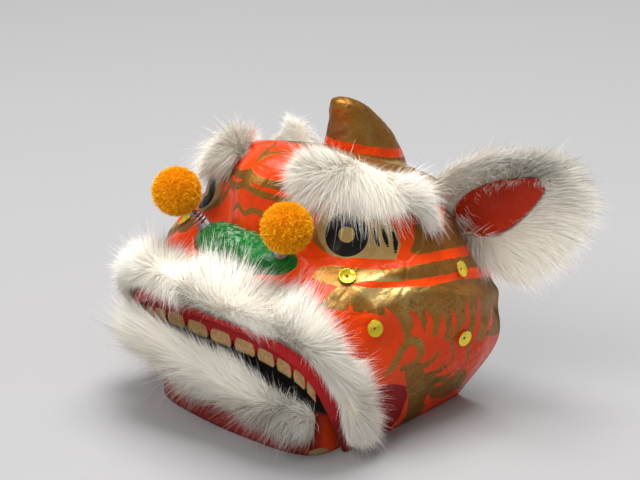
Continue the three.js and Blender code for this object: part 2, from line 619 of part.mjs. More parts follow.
for (const [hand, side] of [["left", 1], ["right", -1]]) {
  addPiece("brow_fur_" + hand, browFur(side), "rabbit_fur");
  const feeler = feelerFrame(side);
  head.add(feeler);
  const base = seatOnHead(springPost(side, SPRING_BASE.radius, SPRING_BASE.height));
  addPiece("spring_base_" + hand, base, "black_tape");
  addPiece("spring_" + hand, coilSpring(), "steel_wire", feeler);
  addPiece("stem_" + hand, stem(), "black_tape", feeler);
  addPiece("pompom_" + hand, pompom(), "yellow_wool", feeler).position.z = FEELER_REACH;
  for (const { spot, rib, column } of SEQUINS) {
    const disc = addPiece("sequin_" + spot + "_" + hand, sequin(), "sequin_gold");
    disc.position.copy(headAt(rib, side * column, SEQUIN.lift));
    disc.quaternion.setFromUnitVectors(vec([0, 0, 1]), normalAt(rib, side * column));
  }
}

for (const ear of EARS) {
  addPiece("ear_leaf_" + ear.hand, earLeaf(ear), "crimson_lacquer");
  addPiece("ear_fur_" + ear.hand, earPad(ear), "rabbit_fur");
}

// The origin is the middle of the whole head's footprint.
const box = new THREE.Box3().setFromObject(head, true);
head.position.y = -(box.min.y + box.max.y) / 2;

export default head;
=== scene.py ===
"""A small lion dance head of painted papier-mache, with rabbit fur, sprung pompoms and sequins.

Shapes are worked out in millimetres in the maker's frame, where the nose's middle is near y = 0, and are
placed in metres."""
import math

import bpy
import numpy as np
from mathutils import Matrix, Vector, kdtree


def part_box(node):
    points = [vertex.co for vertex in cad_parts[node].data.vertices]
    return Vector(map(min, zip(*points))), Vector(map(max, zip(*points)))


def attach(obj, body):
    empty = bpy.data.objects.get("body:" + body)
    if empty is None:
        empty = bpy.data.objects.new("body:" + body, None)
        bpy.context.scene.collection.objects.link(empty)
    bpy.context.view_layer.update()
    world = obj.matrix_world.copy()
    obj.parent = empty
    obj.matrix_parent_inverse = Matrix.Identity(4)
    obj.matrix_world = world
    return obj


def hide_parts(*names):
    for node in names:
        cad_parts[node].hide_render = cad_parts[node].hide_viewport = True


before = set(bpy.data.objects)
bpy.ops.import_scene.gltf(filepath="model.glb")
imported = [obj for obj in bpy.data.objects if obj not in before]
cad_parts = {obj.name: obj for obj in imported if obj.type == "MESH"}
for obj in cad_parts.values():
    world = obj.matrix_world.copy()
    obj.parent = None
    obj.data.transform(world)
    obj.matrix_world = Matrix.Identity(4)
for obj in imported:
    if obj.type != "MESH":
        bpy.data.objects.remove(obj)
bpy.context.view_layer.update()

# Sizes, in millimetres
WALL = 2.0
CARD = 1.4
HINGE_Y = 46.0
RIM_BACK = 93.0
RIM_LEAN = 0.23
ROD_LOW, ROD_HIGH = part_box("jaw_rod")
MAKER_TO_FRAME = np.array([0.0, 500 * (ROD_LOW.y + ROD_HIGH.y) - HINGE_Y, 0.0])
TINY = 1e-9

# The head's ribs from the lip to the neck rim. Each row's points run from the crown down to the foot.
RIB_COLUMNS = ("crown", "brow", "eye", "ridge", "cheek", "foot")
RIBS = {
    "lip edge": [(0, -25, 61), (30, -24, 60), (50, -21, 54), (62, -16, 42), (65, -6, 21), (61, 7, 0)],
    "lip front": [(0, -27, 70), (30, -26, 70), (51, -21, 65), (65, -12, 52), (69, 1, 27), (61.5, 14, 0)],
    "snout": [(0, -17, 80), (28, -14, 81), (49, -7, 80), (66, 3, 66), (73, 13, 36), (62, 24, 0)],
    "nose back": [(0, 1, 90), (22, 5, 91), (44, 10, 88), (67, 19, 76), (77, 28, 43), (62, 36, 0)],
    "bridge": [(0, 3, 107), (20, 12, 104), (45, 24, 97), (73, 36, 80), (79, 43, 46), (62, 49, 0)],
    "forehead": [(0, 8, 124), (22, 19, 120), (52, 33, 109), (78, 52, 77), (82, 57, 45), (62, 61, 0)],
    "top": [(0, 30, 132), (32, 40, 127), (60, 49, 109), (79, 68, 71), (84, 70, 42), (62, 73, 0)],
    "horn seat": [(0, 70, 124), (34, 72, 118), (60, 77, 99), (76, 86, 65), (84, 84, 39), (61.5, 84, 0)],
    "neck rim": [(0, 117, 104), (30, 116, 100), (50, 112, 84), (68, 104, 59), (79, 100, 35), (61, 93, 0)],
}
LAST_RIB = len(RIBS) - 1
LAST_COLUMN = len(RIB_COLUMNS) - 1
ROLLS = [(2.75, 0.15, 2.6, 2.4), (3.15, 0.22, 4.6, 2.2)]  # column, half width, height, from rib
SWELLINGS = [((45, 24, 100), 15, 4.5), ((0, 14, 128), 17, 4.0)]  # centre, reach, height


def smooth_sum(u, row_after):
    """A Catmull-Rom curve at u of the way from the second to the third of its four rows."""
    weights = (-u + 2 * u**2 - u**3, 2 - 5 * u**2 + 3 * u**3, u + 4 * u**2 - 3 * u**3, -(u**2) + u**3)
    return sum(0.5 * weight * row_after(k) for k, weight in enumerate(weights))


def catmull_rom(table, position):
    """Rows of a table, smoothly joined, at positions counted in rows."""
    table = np.asarray(table, float)
    table = np.concatenate([2 * table[:1] - table[1:2], table, 2 * table[-1:] - table[-2:-1]])
    position = np.asarray(position, float)
    row = np.clip(np.floor(position).astype(int), 0, len(table) - 4)
    u = (position - row).reshape(position.shape + (1,) * (table.ndim - 1))
    return smooth_sum(u, lambda k: table[row + k])


def unit(vectors):
    return vectors / np.maximum(np.linalg.norm(vectors, axis=-1, keepdims=True), TINY)


def smoothstep(x, low, high):
    t = np.clip((x - low) / (high - low), 0, 1)
    return t * t * (3 - 2 * t)


def hump(x, centre, reach):
    return np.exp(-(((x - centre) / reach) ** 2))


def all_pairs(rows, columns):
    """Each row value with each column value, as two flat lists."""
    return (grid.ravel() for grid in np.meshgrid(rows, columns, indexing="ij"))


def nearest_finder(points):
    """A function that gives the number of the point nearest to each place."""
    tree = kdtree.KDTree(len(points))
    for i, point in enumerate(points):
        tree.insert(point, i)
    tree.balance()
    return lambda places: np.array([tree.find(place)[1] for place in places])


HALF_NET = np.array(list(RIBS.values()), float)
NET = np.concatenate([HALF_NET[:, :0:-1] * (-1, 1, 1), HALF_NET], axis=1)


def base_at(rib, column):
    """The head's smooth surface. rib and column have the same shape."""
    rows = catmull_rom(NET, rib)
    shape = rows.shape[:-2]
    rows = rows.reshape(-1, *NET.shape[1:])
    place = np.broadcast_to(column, shape).ravel() + LAST_COLUMN
    padded = np.concatenate([2 * rows[:, :1] - rows[:, 1:2], rows, 2 * rows[:, -1:] - rows[:, -2:-1]], axis=1)
    left = np.clip(np.floor(place).astype(int), 0, NET.shape[1] - 2)
    each = np.arange(len(rows))
    points = smooth_sum((place - left)[:, None], lambda k: padded[each, left + k])
    return points.reshape(*shape, 3)


def normal_at(rib, column, step=0.02):
    ribs = np.maximum(rib - step, 0), np.minimum(rib + step, LAST_RIB)
    columns = np.maximum(column - step, -LAST_COLUMN), np.minimum(column + step, LAST_COLUMN)
    along = base_at(ribs[1], column) - base_at(ribs[0], column)
    across = base_at(rib, columns[1]) - base_at(rib, columns[0])
    return unit(np.cross(across, along))


def head_at(rib, column, outside=0.0):
    """The painted face of the head, or points at a distance outside it."""
    rib, column = np.broadcast_arrays(np.asarray(rib, float), np.asarray(column, float))
    points = base_at(rib, column)
    relief = np.zeros(rib.shape)
    for at, half_width, height, from_rib in ROLLS:
        relief += height * hump(np.abs(column), at, half_width) * smoothstep(rib, from_rib, from_rib + 0.9)
    mirrored = points * np.where(points < 0, (-1, 1, 1), 1)
    for centre, reach, height in SWELLINGS:
        relief += height * hump(np.linalg.norm(mirrored - centre, axis=-1), 0, reach)
    points = points + normal_at(rib, column) * (relief + outside)[..., None]
    points[..., 2] = np.where(np.abs(column) == LAST_COLUMN, 0, points[..., 2])
    points[..., 1] = np.where(rib == LAST_RIB, RIM_BACK + RIM_LEAN * points[..., 2], points[..., 1])
    return points


# Meshes
def grid_faces(rows, columns, wrap=False):
    """Four-cornered faces between rows of points, each row joined to itself where wrap is set."""
    across = columns if wrap else columns - 1
    i, j = np.meshgrid(np.arange(rows - 1), np.arange(across), indexing="ij")
    k = (j + 1) % columns
    faces = np.stack([i * columns + j, i * columns + k, (i + 1) * columns + k, (i + 1) * columns + j], -1)
    return faces.reshape(-1, 4)


def ring_angles(count):
    return np.linspace(0, 2 * math.pi, count + 1)[:-1]


def round_rings(radius, height, angle):
    """Rings about the z axis. The radius and the height are lists, or tables of one row for each ring."""
    radius, height = (np.asarray(value, float).reshape(len(value), -1) for value in (radius, height))
    x, y = radius * np.cos(angle), radius * np.sin(angle)
    return np.stack([x, y, height + 0 * angle], -1)


def new_piece(
    name, points, faces, materials, node, slot, body="head", finish_of_face=None, normals=None, **values
):
    """A mesh piece from points in millimetres, riding on a body in a CAD node's place.
    Each further value is a list of one number for each point, which the materials read by its name."""
    mesh = bpy.data.meshes.new(name)
    points = np.asarray(points, float).reshape(-1, 3)
    mesh.vertices.add(len(points))
    placed = (points + MAKER_TO_FRAME) / 1000
    mesh.vertices.foreach_set("co", np.maximum(placed, (-1, -1, 0)).ravel())
    mesh.loops.add(faces.size)
    mesh.loops.foreach_set("vertex_index", faces.ravel())
    mesh.polygons.add(len(faces))
    mesh.polygons.foreach_set("loop_start", np.arange(len(faces)) * faces.shape[1])
    mesh.update(calc_edges=True)
    mesh.polygons.foreach_set("use_smooth", np.ones(len(faces), bool))
    for material in materials:
        mesh.materials.append(material)
    if finish_of_face is not None:
        mesh.polygons.foreach_set("material_index", np.asarray(finish_of_face, int))
    for value_name, value in values.items():
        attribute = mesh.attributes.new(value_name, "FLOAT", "POINT")
        attribute.data.foreach_set("value", np.asarray(value, np.float32).ravel())
    if normals is not None:
        mesh.normals_split_custom_set_from_vertices(normals)
    piece = bpy.data.objects.new(name, mesh)
    bpy.context.scene.collection.objects.link(piece)
    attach(piece, body)
    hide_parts(node)
    return piece


def turned_out(points, faces):
    """The faces of a closed mesh, turned over if they face inwards."""
    a, b, c, d = (points[faces[:, k]] for k in range(4))
    volume = np.einsum("ij,ij->i", a, np.cross(b, c) + np.cross(c, d)).sum()
    return faces if volume > 0 else faces[:, ::-1]


def mesh_normals(points, faces):
    normals = np.zeros(points.shape)
    corners = points[faces]
    across = np.cross(corners[:, 2] - corners[:, 0], corners[:, 3] - corners[:, 1])
    for k in range(4):
        np.add.at(normals, faces[:, k], across)
    return unit(normals)


def lofted(rings):
    """A closed skin over rings of points, each end drawn in to its middle."""
    first, last = (end.mean(axis=1, keepdims=True) + 0 * end for end in (rings[:1], rings[-1:]))
    rings = np.concatenate([first, rings, last])
    points = rings.reshape(-1, 3)
    faces = turned_out(points, grid_faces(len(rings), rings.shape[1], wrap=True))
    return points, faces


def walled(outer, inner):
    """A closed wall between two grids of points: its points, its faces and whether each face is inside."""
    rows, columns = outer.shape[:2]
    size = rows * columns
    points = np.concatenate([outer.reshape(-1, 3), inner.reshape(-1, 3)])
    front = grid_faces(rows, columns)
    loop = np.concatenate([
        np.arange(columns),
        np.arange(2, rows + 1) * columns - 1,
        (rows - 1) * columns + np.arange(columns - 2, -1, -1),
        np.arange(rows - 2, 0, -1) * columns,
    ])
    after = np.roll(loop, -1)
    edge = np.stack([loop, loop + size, after + size, after], -1)
    faces = np.concatenate([front, front[:, ::-1] + size, edge])
    inside = np.concatenate([np.zeros(len(front)), np.ones(len(front) + len(edge))])
    return points, turned_out(points, faces), inside


# Camera and studio
PHOTO_AZIMUTH = math.radians(43)
PHOTO_ELEVATION = math.radians(21)
PHOTO_DISTANCE = 0.9
PHOTO_LENS = 101
AIM = Vector((0.0, 0.001 * (55 + MAKER_TO_FRAME[1]), 0.079))
FILL = 0.36
FILL_IN_GLOSS = 0.12
FLOOR_HALF = 12
SQUARE = [(-1, -1), (1, -1), (1, 1), (-1, 1)]


def away_from_aim(azimuth, elevation, distance):
    level = math.cos(elevation)
    direction = Vector((math.sin(azimuth) * level, -math.cos(azimuth) * level, math.sin(elevation)))
    return AIM + distance * direction


def looking_at_head(thing):
    thing.rotation_euler = (AIM - thing.location).to_track_quat("-Z", "Y").to_euler()


def photo_camera():
    camera = bpy.data.objects.new("photo_camera", bpy.data.cameras.new("photo_camera"))
    camera.data.lens = PHOTO_LENS
    camera.data.sensor_width = 36
    camera.location = away_from_aim(PHOTO_AZIMUTH, PHOTO_ELEVATION, PHOTO_DISTANCE)
    looking_at_head(camera)
    bpy.context.scene.collection.objects.link(camera)
    bpy.context.scene.camera = camera


def studio_light(name, azimuth, elevation, distance, size, watts):
    light = bpy.data.objects.new(name, bpy.data.lights.new(name, "AREA"))
    light.data.size = size
    light.data.energy = watts
    light.location = away_from_aim(math.radians(azimuth), math.radians(elevation), distance)
    looking_at_head(light)
    bpy.context.scene.collection.objects.link(light)


photo_camera()
studio_light("overhead softbox", azimuth=190, elevation=83, distance=2.2, size=1.4, watts=62)
studio_light("front softbox", azimuth=0, elevation=42, distance=3.0, size=1.8, watts=50)
bpy.context.scene.view_settings.view_transform = "Standard"

# Finishes
COLOURS = {
    "orange red": (0.84, 0.060, 0.004),
    "deep red": (0.38, 0.008, 0.010),
    "crimson": (0.27, 0.003, 0.005),
    "old gold": (0.35, 0.155, 0.028),
    # bright gold, which the head and the horn also use for painted highlights
    "bright gold": (0.78, 0.53, 0.20),
    "pale gold": (0.38, 0.26, 0.08),
    # brown of tarnish, which the head also uses for painted shade
    "brown gold": (0.07, 0.030, 0.008),
    # dark reddish brown, partly wear and partly painted shade on the horn's front
    "worn horn": (0.20, 0.055, 0.025),
    "cream": (0.36, 0.24, 0.085),
    "black": (0.012, 0.010, 0.010),
    "mouth black": (0.010, 0.008, 0.008),
    "mouth dust": (0.05, 0.04, 0.035),
    "raw paper": (0.30, 0.22, 0.135),
    "torn paper": (0.38, 0.25, 0.12),
    "jaw red": (0.22, 0.008, 0.008),
    "ear red": (0.38, 0.024, 0.008),
    "rubbed ear": (0.66, 0.10, 0.03),
    "deep green": (0.003, 0.08, 0.010),
    # pale green of the painted highlight on the nose
    "green": (0.008, 0.19, 0.022),
    "frosted green": (0.32, 0.55, 0.36),
    # tan of the tooth card, made darker by painted shade of the mouth
    "tooth": (0.36, 0.215, 0.09),
    "fur tip": (0.97, 0.94, 0.86),
    "fur root": (0.90, 0.81, 0.66),
    "creamy fur": (0.82, 0.72, 0.56),
    "wool": (1.0, 0.54, 0.001),
    "wool shade": (0.94, 0.40, 0.001),
    "light wool": (1.0, 0.55, 0.02),
    "steel": (0.42, 0.42, 0.43),
    "black tape": (0.02, 0.02, 0.022),
    "film": (0.90, 0.74, 0.03),
    "scuffed film": (0.75, 0.56, 0.02),
    "dark bamboo": (0.36, 0.22, 0.09),
    "pale bamboo": (0.55, 0.36, 0.16),
    "studio white": (1.0, 0.99, 0.98),
    "floor": (0.375, 0.37, 0.375),
    "pale floor": (0.395, 0.39, 0.395),
}


class Wiring:
    """Adds and joins the nodes of a material, a world or a group."""

    def __init__(self, tree):
        self.tree = tree

    def join(self, socket, value):
        """Links an output to a socket, or sets the socket to a number or to the colour of a name."""
        if isinstance(value, bpy.types.NodeSocket):
            self.tree.links.new(value, socket)
        else:
            socket.default_value = (*COLOURS[value], 1) if isinstance(value, str) else value

    def node(self, kind, settings=None, **inputs):
        """A node, with underscores for the spaces in the names of its inputs."""
        node = self.tree.nodes.new(kind)
        for name, value in (settings or {}).items():
            setattr(node, name, value)
        for name, value in inputs.items():
            self.join(node.inputs[name.replace("_", " ")], value)
        return node

    def maths(self, operation, *values, clamp=False):
        node = self.node("ShaderNodeMath", {"operation": operation, "use_clamp": clamp})
        for socket, value in zip(node.inputs, values):
            self.join(socket, value)
        return node.outputs[0]

    def times(self, first, second, clamp=False):
        return self.maths("MULTIPLY", first, second, clamp=clamp)

    def plus(self, first, second):
        return self.maths("ADD", first, second)

    def mixed(self, share, first, second, blend="MIX"):
        """A colour between two others."""
        node = self.node("ShaderNodeMix", {"data_type": "RGBA", "blend_type": blend})
        for number, value in ((0, share), (6, first), (7, second)):
            self.join(node.inputs[number], value)
        return node.outputs[2]

    def mixed_value(self, share, first, second):
        node = self.node("ShaderNodeMix", {"data_type": "FLOAT"})
        for number, value in ((0, share), (2, first), (3, second)):
            self.join(node.inputs[number], value)
        return node.outputs[0]

    def toned(self, colour, tone):
        """A colour, darker or lighter by a tone."""
        grey = self.node("ShaderNodeCombineColor", Red=tone, Green=tone, Blue=tone).outputs[0]
        return self.mixed(1.0, colour, grey, "MULTIPLY")

    def ramp(self, value, low, high, at_low=0.0, at_high=1.0):
        settings = {"clamp": True, "interpolation_type": "SMOOTHSTEP"}
        ends = {"From_Min": low, "From_Max": high, "To_Min": at_low, "To_Max": at_high}
        return self.node("ShaderNodeMapRange", settings, Value=value, **ends).outputs["Result"]

    def value(self, name):
        """A value that the mesh holds at each point."""
        return self.node("ShaderNodeAttribute", {"attribute_name": name}).outputs["Fac"]

    def place(self):
        return self.node("ShaderNodeTexCoord").outputs["Object"]

    def noise(self, scale, detail=4.0, roughness=0.55, place=None):
        sizes = {"Scale": scale, "Detail": detail, "Roughness": roughness}
        return self.node("ShaderNodeTexNoise", Vector=place or self.place(), **sizes).outputs["Fac"]

    def cracks(self, scale):
        """Distance from the edges of cells."""
        settings = {"feature": "DISTANCE_TO_EDGE"}
        cells = self.node("ShaderNodeTexVoronoi", settings, Vector=self.place(), Scale=scale)
        return cells.outputs["Distance"]


def studio_world():
    """Even light from all sides, dimmer in the gloss of the paint."""
    world = bpy.data.worlds.new("studio")
    world.use_nodes = True
    wiring = Wiring(world.node_tree)
    background = world.node_tree.nodes["Background"]
    in_gloss = wiring.node("ShaderNodeLightPath").outputs["Is Glossy Ray"]
    fill = wiring.node("ShaderNodeMapRange", Value=in_gloss, To_Min=FILL, To_Max=FILL_IN_GLOSS)
    wiring.join(background.inputs["Color"], "studio white")
    wiring.join(background.inputs["Strength"], fill.outputs["Result"])
    bpy.context.scene.world = world


studio_world()


def new_group(name, inputs, outputs):
    """A node group whose inputs are given as name: default, and whose outputs as name: kind."""
    tree = bpy.data.node_groups.new(name, "ShaderNodeTree")
    for socket_name, default in inputs.items():
        socket = tree.interface.new_socket(socket_name, in_out="INPUT", socket_type="NodeSocketFloat")
        socket.default_value = default
    for socket_name, kind in outputs.items():
        tree.interface.new_socket(socket_name, in_out="OUTPUT", socket_type="NodeSocket" + kind)
    return Wiring(tree), tree.nodes.new("NodeGroupInput").outputs, tree.nodes.new("NodeGroupOutput").inputs


def hand_painted_edge():
    """A paint mask from a distance in millimetres to the stroke's edge, which wavers as a brush does."""
    inputs = {"Distance": 0.0, "Waver": 0.5, "Softness": 0.12}
    wiring, given, out = new_group("hand-painted edge", inputs, {"Mask": "Float"})
    waver = wiring.times(wiring.maths("SUBTRACT", wiring.noise(330.0, 3.0), 0.5), given["Waver"])
    distance = wiring.plus(given["Distance"], waver)
    within = wiring.times(given["Softness"], -1.0)
    wiring.join(out["Mask"], wiring.ramp(distance, within, given["Softness"], 1.0, 0.0))
    return wiring.tree


def gold_paint():
    """Old gold paint, with bright leaf where it is whole and brown specks where it has tarnished.
    The head and the horn also raise its brightness to paint highlights, and the head raises its tarnish to
    paint shade.
    """
    inputs = {"Brightness": 0.5, "Tarnish": 0.5}
    outputs = {"Color": "Color", "Roughness": "Float", "Metallic": "Float"}
    wiring, given, out = new_group("old gold paint", inputs, outputs)
    cloud = wiring.noise(38.0, 4.0)
    # brighter gold, partly from the noise and partly from a painted highlight given as brightness
    leaf = wiring.ramp(wiring.plus(cloud, wiring.maths("SUBTRACT", given["Brightness"], 0.5)), 0.5, 0.72)
    specks = wiring.ramp(wiring.noise(620.0, 5.0, 0.7), 0.56, 0.66)
    patches = wiring.ramp(wiring.noise(90.0, 5.0, 0.65), 0.5, 0.75)
    # brown specks and patches, as much as the given tarnish, which on the head also holds painted shade
    tarnish = wiring.times(wiring.maths("MAXIMUM", specks, patches), given["Tarnish"], clamp=True)
    gold = wiring.mixed(leaf, "old gold", "bright gold")
    thin = wiring.ramp(wiring.noise(70.0, 5.0, 0.6), 0.5, 0.68, 0.0, 0.55)
    gold = wiring.mixed(thin, gold, "pale gold")
    wiring.join(out["Color"], wiring.mixed(tarnish, gold, "brown gold"))
    wiring.join(out["Roughness"], wiring.mixed_value(tarnish, wiring.mixed_value(leaf, 0.42, 0.3), 0.62))
    wiring.join(out["Metallic"], wiring.mixed_value(tarnish, wiring.mixed_value(leaf, 0.7, 0.6), 0.3))
    return wiring.tree


def crumpled_paper():
    """Height of papier-mache under paint: soft dents, pasted edges and fine grain."""
    wiring, given, out = new_group("crumpled papier-mache", {"Dents": 1.0, "Grain": 0.3}, {"Height": "Float"})
    dents = wiring.noise(55.0, 3.0, 0.5)
    pasted = wiring.ramp(wiring.cracks(75.0), 0.0, 0.12)
    grain = wiring.noise(700.0, 3.0, 0.6)
    soft = wiring.times(wiring.plus(dents, wiring.times(pasted, 0.12)), given["Dents"])
    wiring.join(out["Height"], wiring.plus(soft, wiring.times(grain, given["Grain"])))
    return wiring.tree


def rubbed_and_dusty():
    """Dust and handling: a mask that is strongest in dull patches."""
    wiring, given, out = new_group("rubbed and dusty", {"Amount": 0.3}, {"Mask": "Float"})
    patches = wiring.ramp(wiring.noise(60.0, 6.0, 0.65), 0.45, 0.75)
    wiring.join(out["Mask"], wiring.times(patches, given["Amount"]))
    return wiring.tree


GROUPS = {make.__name__: make() for make in (hand_painted_edge, gold_paint, crumpled_paper, rubbed_and_dusty)}


class Finish(Wiring):
    """A material, with its shader ready to be joined to."""

    def __init__(self, name):
        self.material = bpy.data.materials.new(name)
        self.material.use_nodes = True
        super().__init__(self.material.node_tree)
        self.shader = self.tree.nodes["Principled BSDF"]

    def group(self, make, **inputs):
        node = self.tree.nodes.new("ShaderNodeGroup")
        node.node_tree = GROUPS[make.__name__]
        for name, value in inputs.items():
            self.join(node.inputs[name], value)
        return node.outputs

    def painted(self, edge, waver=0.5, softness=0.12):
        distance = self.value(edge)
        return self.group(hand_painted_edge, Distance=distance, Waver=waver, Softness=softness)["Mask"]

    def gold(self):
        # the gold's brightness and tarnish as the mesh holds them, which include a painted highlight and
        # painted shade
        return self.group(gold_paint, Brightness=self.value("leaf"), Tarnish=self.value("tarnish"))

    def crumpled(self, dents, grain):
        return self.group(crumpled_paper, Dents=dents, Grain=grain)["Height"]

    def bumped(self, height, distance_mm):
        node = self.node("ShaderNodeBump", Height=height, Distance=distance_mm / 1000, Strength=1.0)
        self.join(self.shader.inputs["Normal"], node.outputs["Normal"])

    def shade(self, **inputs):
        for name, value in inputs.items():
            self.join(self.shader.inputs[name.replace("_", " ")], value)
        return self.material


def lacquered(finish, colour):
    """A lacquer colour with slight clouding and duller patches: colour and roughness."""
    cloud = finish.ramp(finish.noise(45.0, 4.0), 0.3, 0.7, 0.82, 1.06)
    dust = finish.group(rubbed_and_dusty, Amount=0.5)["Mask"]
    return finish.toned(colour, cloud), finish.mixed_value(dust, 0.22, 0.42)


def painted_shell():
    """The head's paint: lacquer, gold strokes, a crimson lip, and the eyes."""
    finish = Finish("painted papier-mache")
    base = finish.mixed(finish.painted("deep_edge"), "orange red", "deep red")
    red, red_roughness = lacquered(finish, base)
    gold = finish.gold()
    on_gold = finish.painted("gold_edge", 0.9)
    colour = finish.mixed(on_gold, red, gold["Color"])
    roughness = finish.mixed_value(on_gold, red_roughness, gold["Roughness"])
    metal = finish.times(on_gold, gold["Metallic"])
    for name, shine in (("crimson", 0.35), ("cream", 0.4), ("black", 0.3)):
        mask = finish.painted(name + "_edge", 0.35, 0.1)
        colour = finish.mixed(mask, colour, name)
        roughness = finish.mixed_value(mask, roughness, shine)
        metal = finish.mixed_value(mask, metal, 0.0)
    height = finish.crumpled(0.8, 0.05)
    grainy = finish.times(on_gold, finish.noise(1100.0, 3.0, 0.6))
    finish.bumped(finish.plus(height, finish.times(grainy, 0.09)), 2.2)
    return finish.shade(Base_Color=colour, Roughness=roughness, Metallic=metal, Specular_IOR_Level=0.13)


def raw_paper():
    finish = Finish("raw pasted paper")
    sheets = finish.node("ShaderNodeTexVoronoi", Vector=finish.place(), Scale=55.0).outputs["Color"]
    tone = finish.ramp(finish.noise(240.0, 5.0, 0.7), 0.3, 0.7, 0.72, 1.1)
    paper = finish.mixed(0.12, finish.toned("raw paper", tone), sheets, "SOFT_LIGHT")
    finish.bumped(finish.crumpled(1.4, 0.35), 0.9)
    return finish.shade(Base_Color=paper, Roughness=0.85)


# Painted shade: the inside of the mouth and of the jaw is black, with dusty patches.
def mouth_paint():
    finish = Finish("black mouth paint")
    dust = finish.group(rubbed_and_dusty, Amount=0.3)["Mask"]
    finish.bumped(finish.crumpled(1.0, 0.2), 0.9)
    return finish.shade(Base_Color=finish.mixed(dust, "mouth black", "mouth dust"), Roughness=0.6)


def rabbit_fur():
    finish = Finish("rabbit fur")
    shaft = finish.mixed(finish.ramp(finish.value("along"), 0.0, 0.6), "fur root", "fur tip")
    patches = finish.ramp(finish.noise(60.0, 3.0), 0.45, 0.75, 0.0, 0.3)
    creamier = finish.plus(finish.times(finish.value("tone"), 0.3), patches)
    colour = finish.mixed(creamier, shaft, "creamy fur")
    return finish.shade(Base_Color=colour, Roughness=0.85, Specular_IOR_Level=0.1)


def horn_paint():
    finish = Finish("horn paint")
    gold = finish.gold()
    red, red_roughness = lacquered(finish, "orange red")
    rubbing = finish.times(finish.noise(150.0, 5.0, 0.7), 0.8)
    # the horn's upper front turns dark reddish brown, partly as wear and partly as painted shade
    worn = finish.ramp(finish.plus(finish.value("worn"), rubbing), 0.7, 1.1)
    on_red = finish.painted("band_edge", 0.8)
    colour = finish.mixed(on_red, finish.mixed(worn, gold["Color"], "worn horn"), red)
    roughness = finish.mixed_value(on_red, gold["Roughness"], red_roughness)
    bare_gold = finish.maths("SUBTRACT", 1.0, finish.maths("MAXIMUM", on_red, worn))
    metal = finish.times(bare_gold, gold["Metallic"])
    finish.bumped(finish.crumpled(0.7, 0.15), 1.8)
    return finish.shade(Base_Color=colour, Roughness=roughness, Metallic=metal, Specular_IOR_Level=0.15)


def green_lacquer():
    finish = Finish("green lacquer")
    # painted highlight: pale crackle along the nose's top, where the mesh asks for it
    pale = finish.ramp(finish.noise(420.0, 5.0, 0.7), 0.45, 0.62)
    pale = finish.times(pale, finish.value("frost"), clamp=True)
    colour = finish.mixed(finish.ramp(finish.noise(60.0, 4.0), 0.35, 0.7), "deep green", "green")
    colour = finish.mixed(finish.times(pale, 0.7), colour, "frosted green")
    crackle = finish.times(finish.ramp(finish.cracks(230.0), 0.0, 0.2), 0.15)
    finish.bumped(finish.plus(finish.noise(130.0, 4.0, 0.6), crackle), 0.9)
    gloss = {"Specular_IOR_Level": 0.15, "Coat_Weight": 0.35, "Coat_Roughness": 0.08}
    return finish.shade(Base_Color=colour, Roughness=finish.mixed_value(pale, 0.2, 0.4), **gloss)


def tooth_paint():
    finish = Finish("painted tooth card")
    grain = finish.ramp(finish.noise(500.0, 4.0, 0.6), 0.3, 0.7, 0.75, 1.1)
    colour = finish.mixed(finish.painted("gum_edge", 0.6), finish.toned("tooth", grain), "crimson")
    finish.bumped(finish.noise(300.0, 4.0), 0.3)
    return finish.shade(Base_Color=colour, Roughness=0.5, Specular_IOR_Level=0.15)


def jaw_paint():
    finish = Finish("jaw paint")
    red, red_roughness = lacquered(finish, finish.mixed(finish.value("bright"), "jaw red", "orange red"))
    torn = finish.painted("torn_edge", 3.0, 0.3)
    colour = finish.mixed(torn, red, "torn paper")
    roughness = finish.mixed_value(torn, red_roughness, 0.85)
    finish.bumped(finish.crumpled(0.9, 0.15), 1.2)
    return finish.shade(Base_Color=colour, Roughness=roughness, Specular_IOR_Level=0.15)


def ear_paint():
    finish = Finish("ear paint")
    red, roughness = lacquered(finish, "ear red")
    rubbed = finish.ramp(finish.noise(210.0, 5.0, 0.7), 0.6, 0.72)
    colour = finish.mixed(finish.times(rubbed, 0.5), red, "rubbed ear")
    finish.bumped(finish.crumpled(0.5, 0.1), 0.8)
    return finish.shade(Base_Color=colour, Roughness=roughness, Specular_IOR_Level=0.12)


def wool_pile():
    finish = Finish("wool pile")
    colour = finish.mixed(finish.ramp(finish.value("along"), 0.2, 1.0), "wool shade", "wool")
    colour = finish.mixed(finish.times(finish.value("tone"), 0.45), colour, "light wool")
    return finish.shade(Base_Color=colour, Roughness=0.8, Specular_IOR_Level=0.2)


def wire(name, colour, metallic, roughness):
    finish = Finish(name)
    rubbed = finish.noise(900.0, 3.0)
    darker, lighter = ((*(k * c for c in COLOURS[colour]), 1) for k in (0.7, 1.15))
    colour = finish.mixed(rubbed, darker, lighter)
    roughness = finish.ramp(rubbed, 0.2, 0.8, roughness, roughness + 0.2)
    return finish.shade(Base_Color=colour, Metallic=metallic, Roughness=roughness)


def sequin_film():
    finish = Finish("sequin film")
    scuffs = finish.ramp(finish.noise(1500.0, 3.0), 0.45, 0.7)
    colour = finish.mixed(scuffs, "film", "scuffed film")
    roughness = finish.mixed_value(scuffs, 0.15, 0.3)
    return finish.shade(Base_Color=colour, Metallic=0.6, Roughness=roughness, Coat_Weight=0.5)


def bamboo():
    finish = Finish("split bamboo")
    drawn_out = finish.node("ShaderNodeMapping", Vector=finish.place(), Scale=(0.3, 8.0, 8.0))
    fibres = finish.noise(120.0, 4.0, 0.6, drawn_out.outputs["Vector"])
    finish.bumped(fibres, 0.15)
    colour = finish.mixed(finish.ramp(fibres, 0.3, 0.7), "dark bamboo", "pale bamboo")
    return finish.shade(Base_Color=colour, Roughness=0.6)


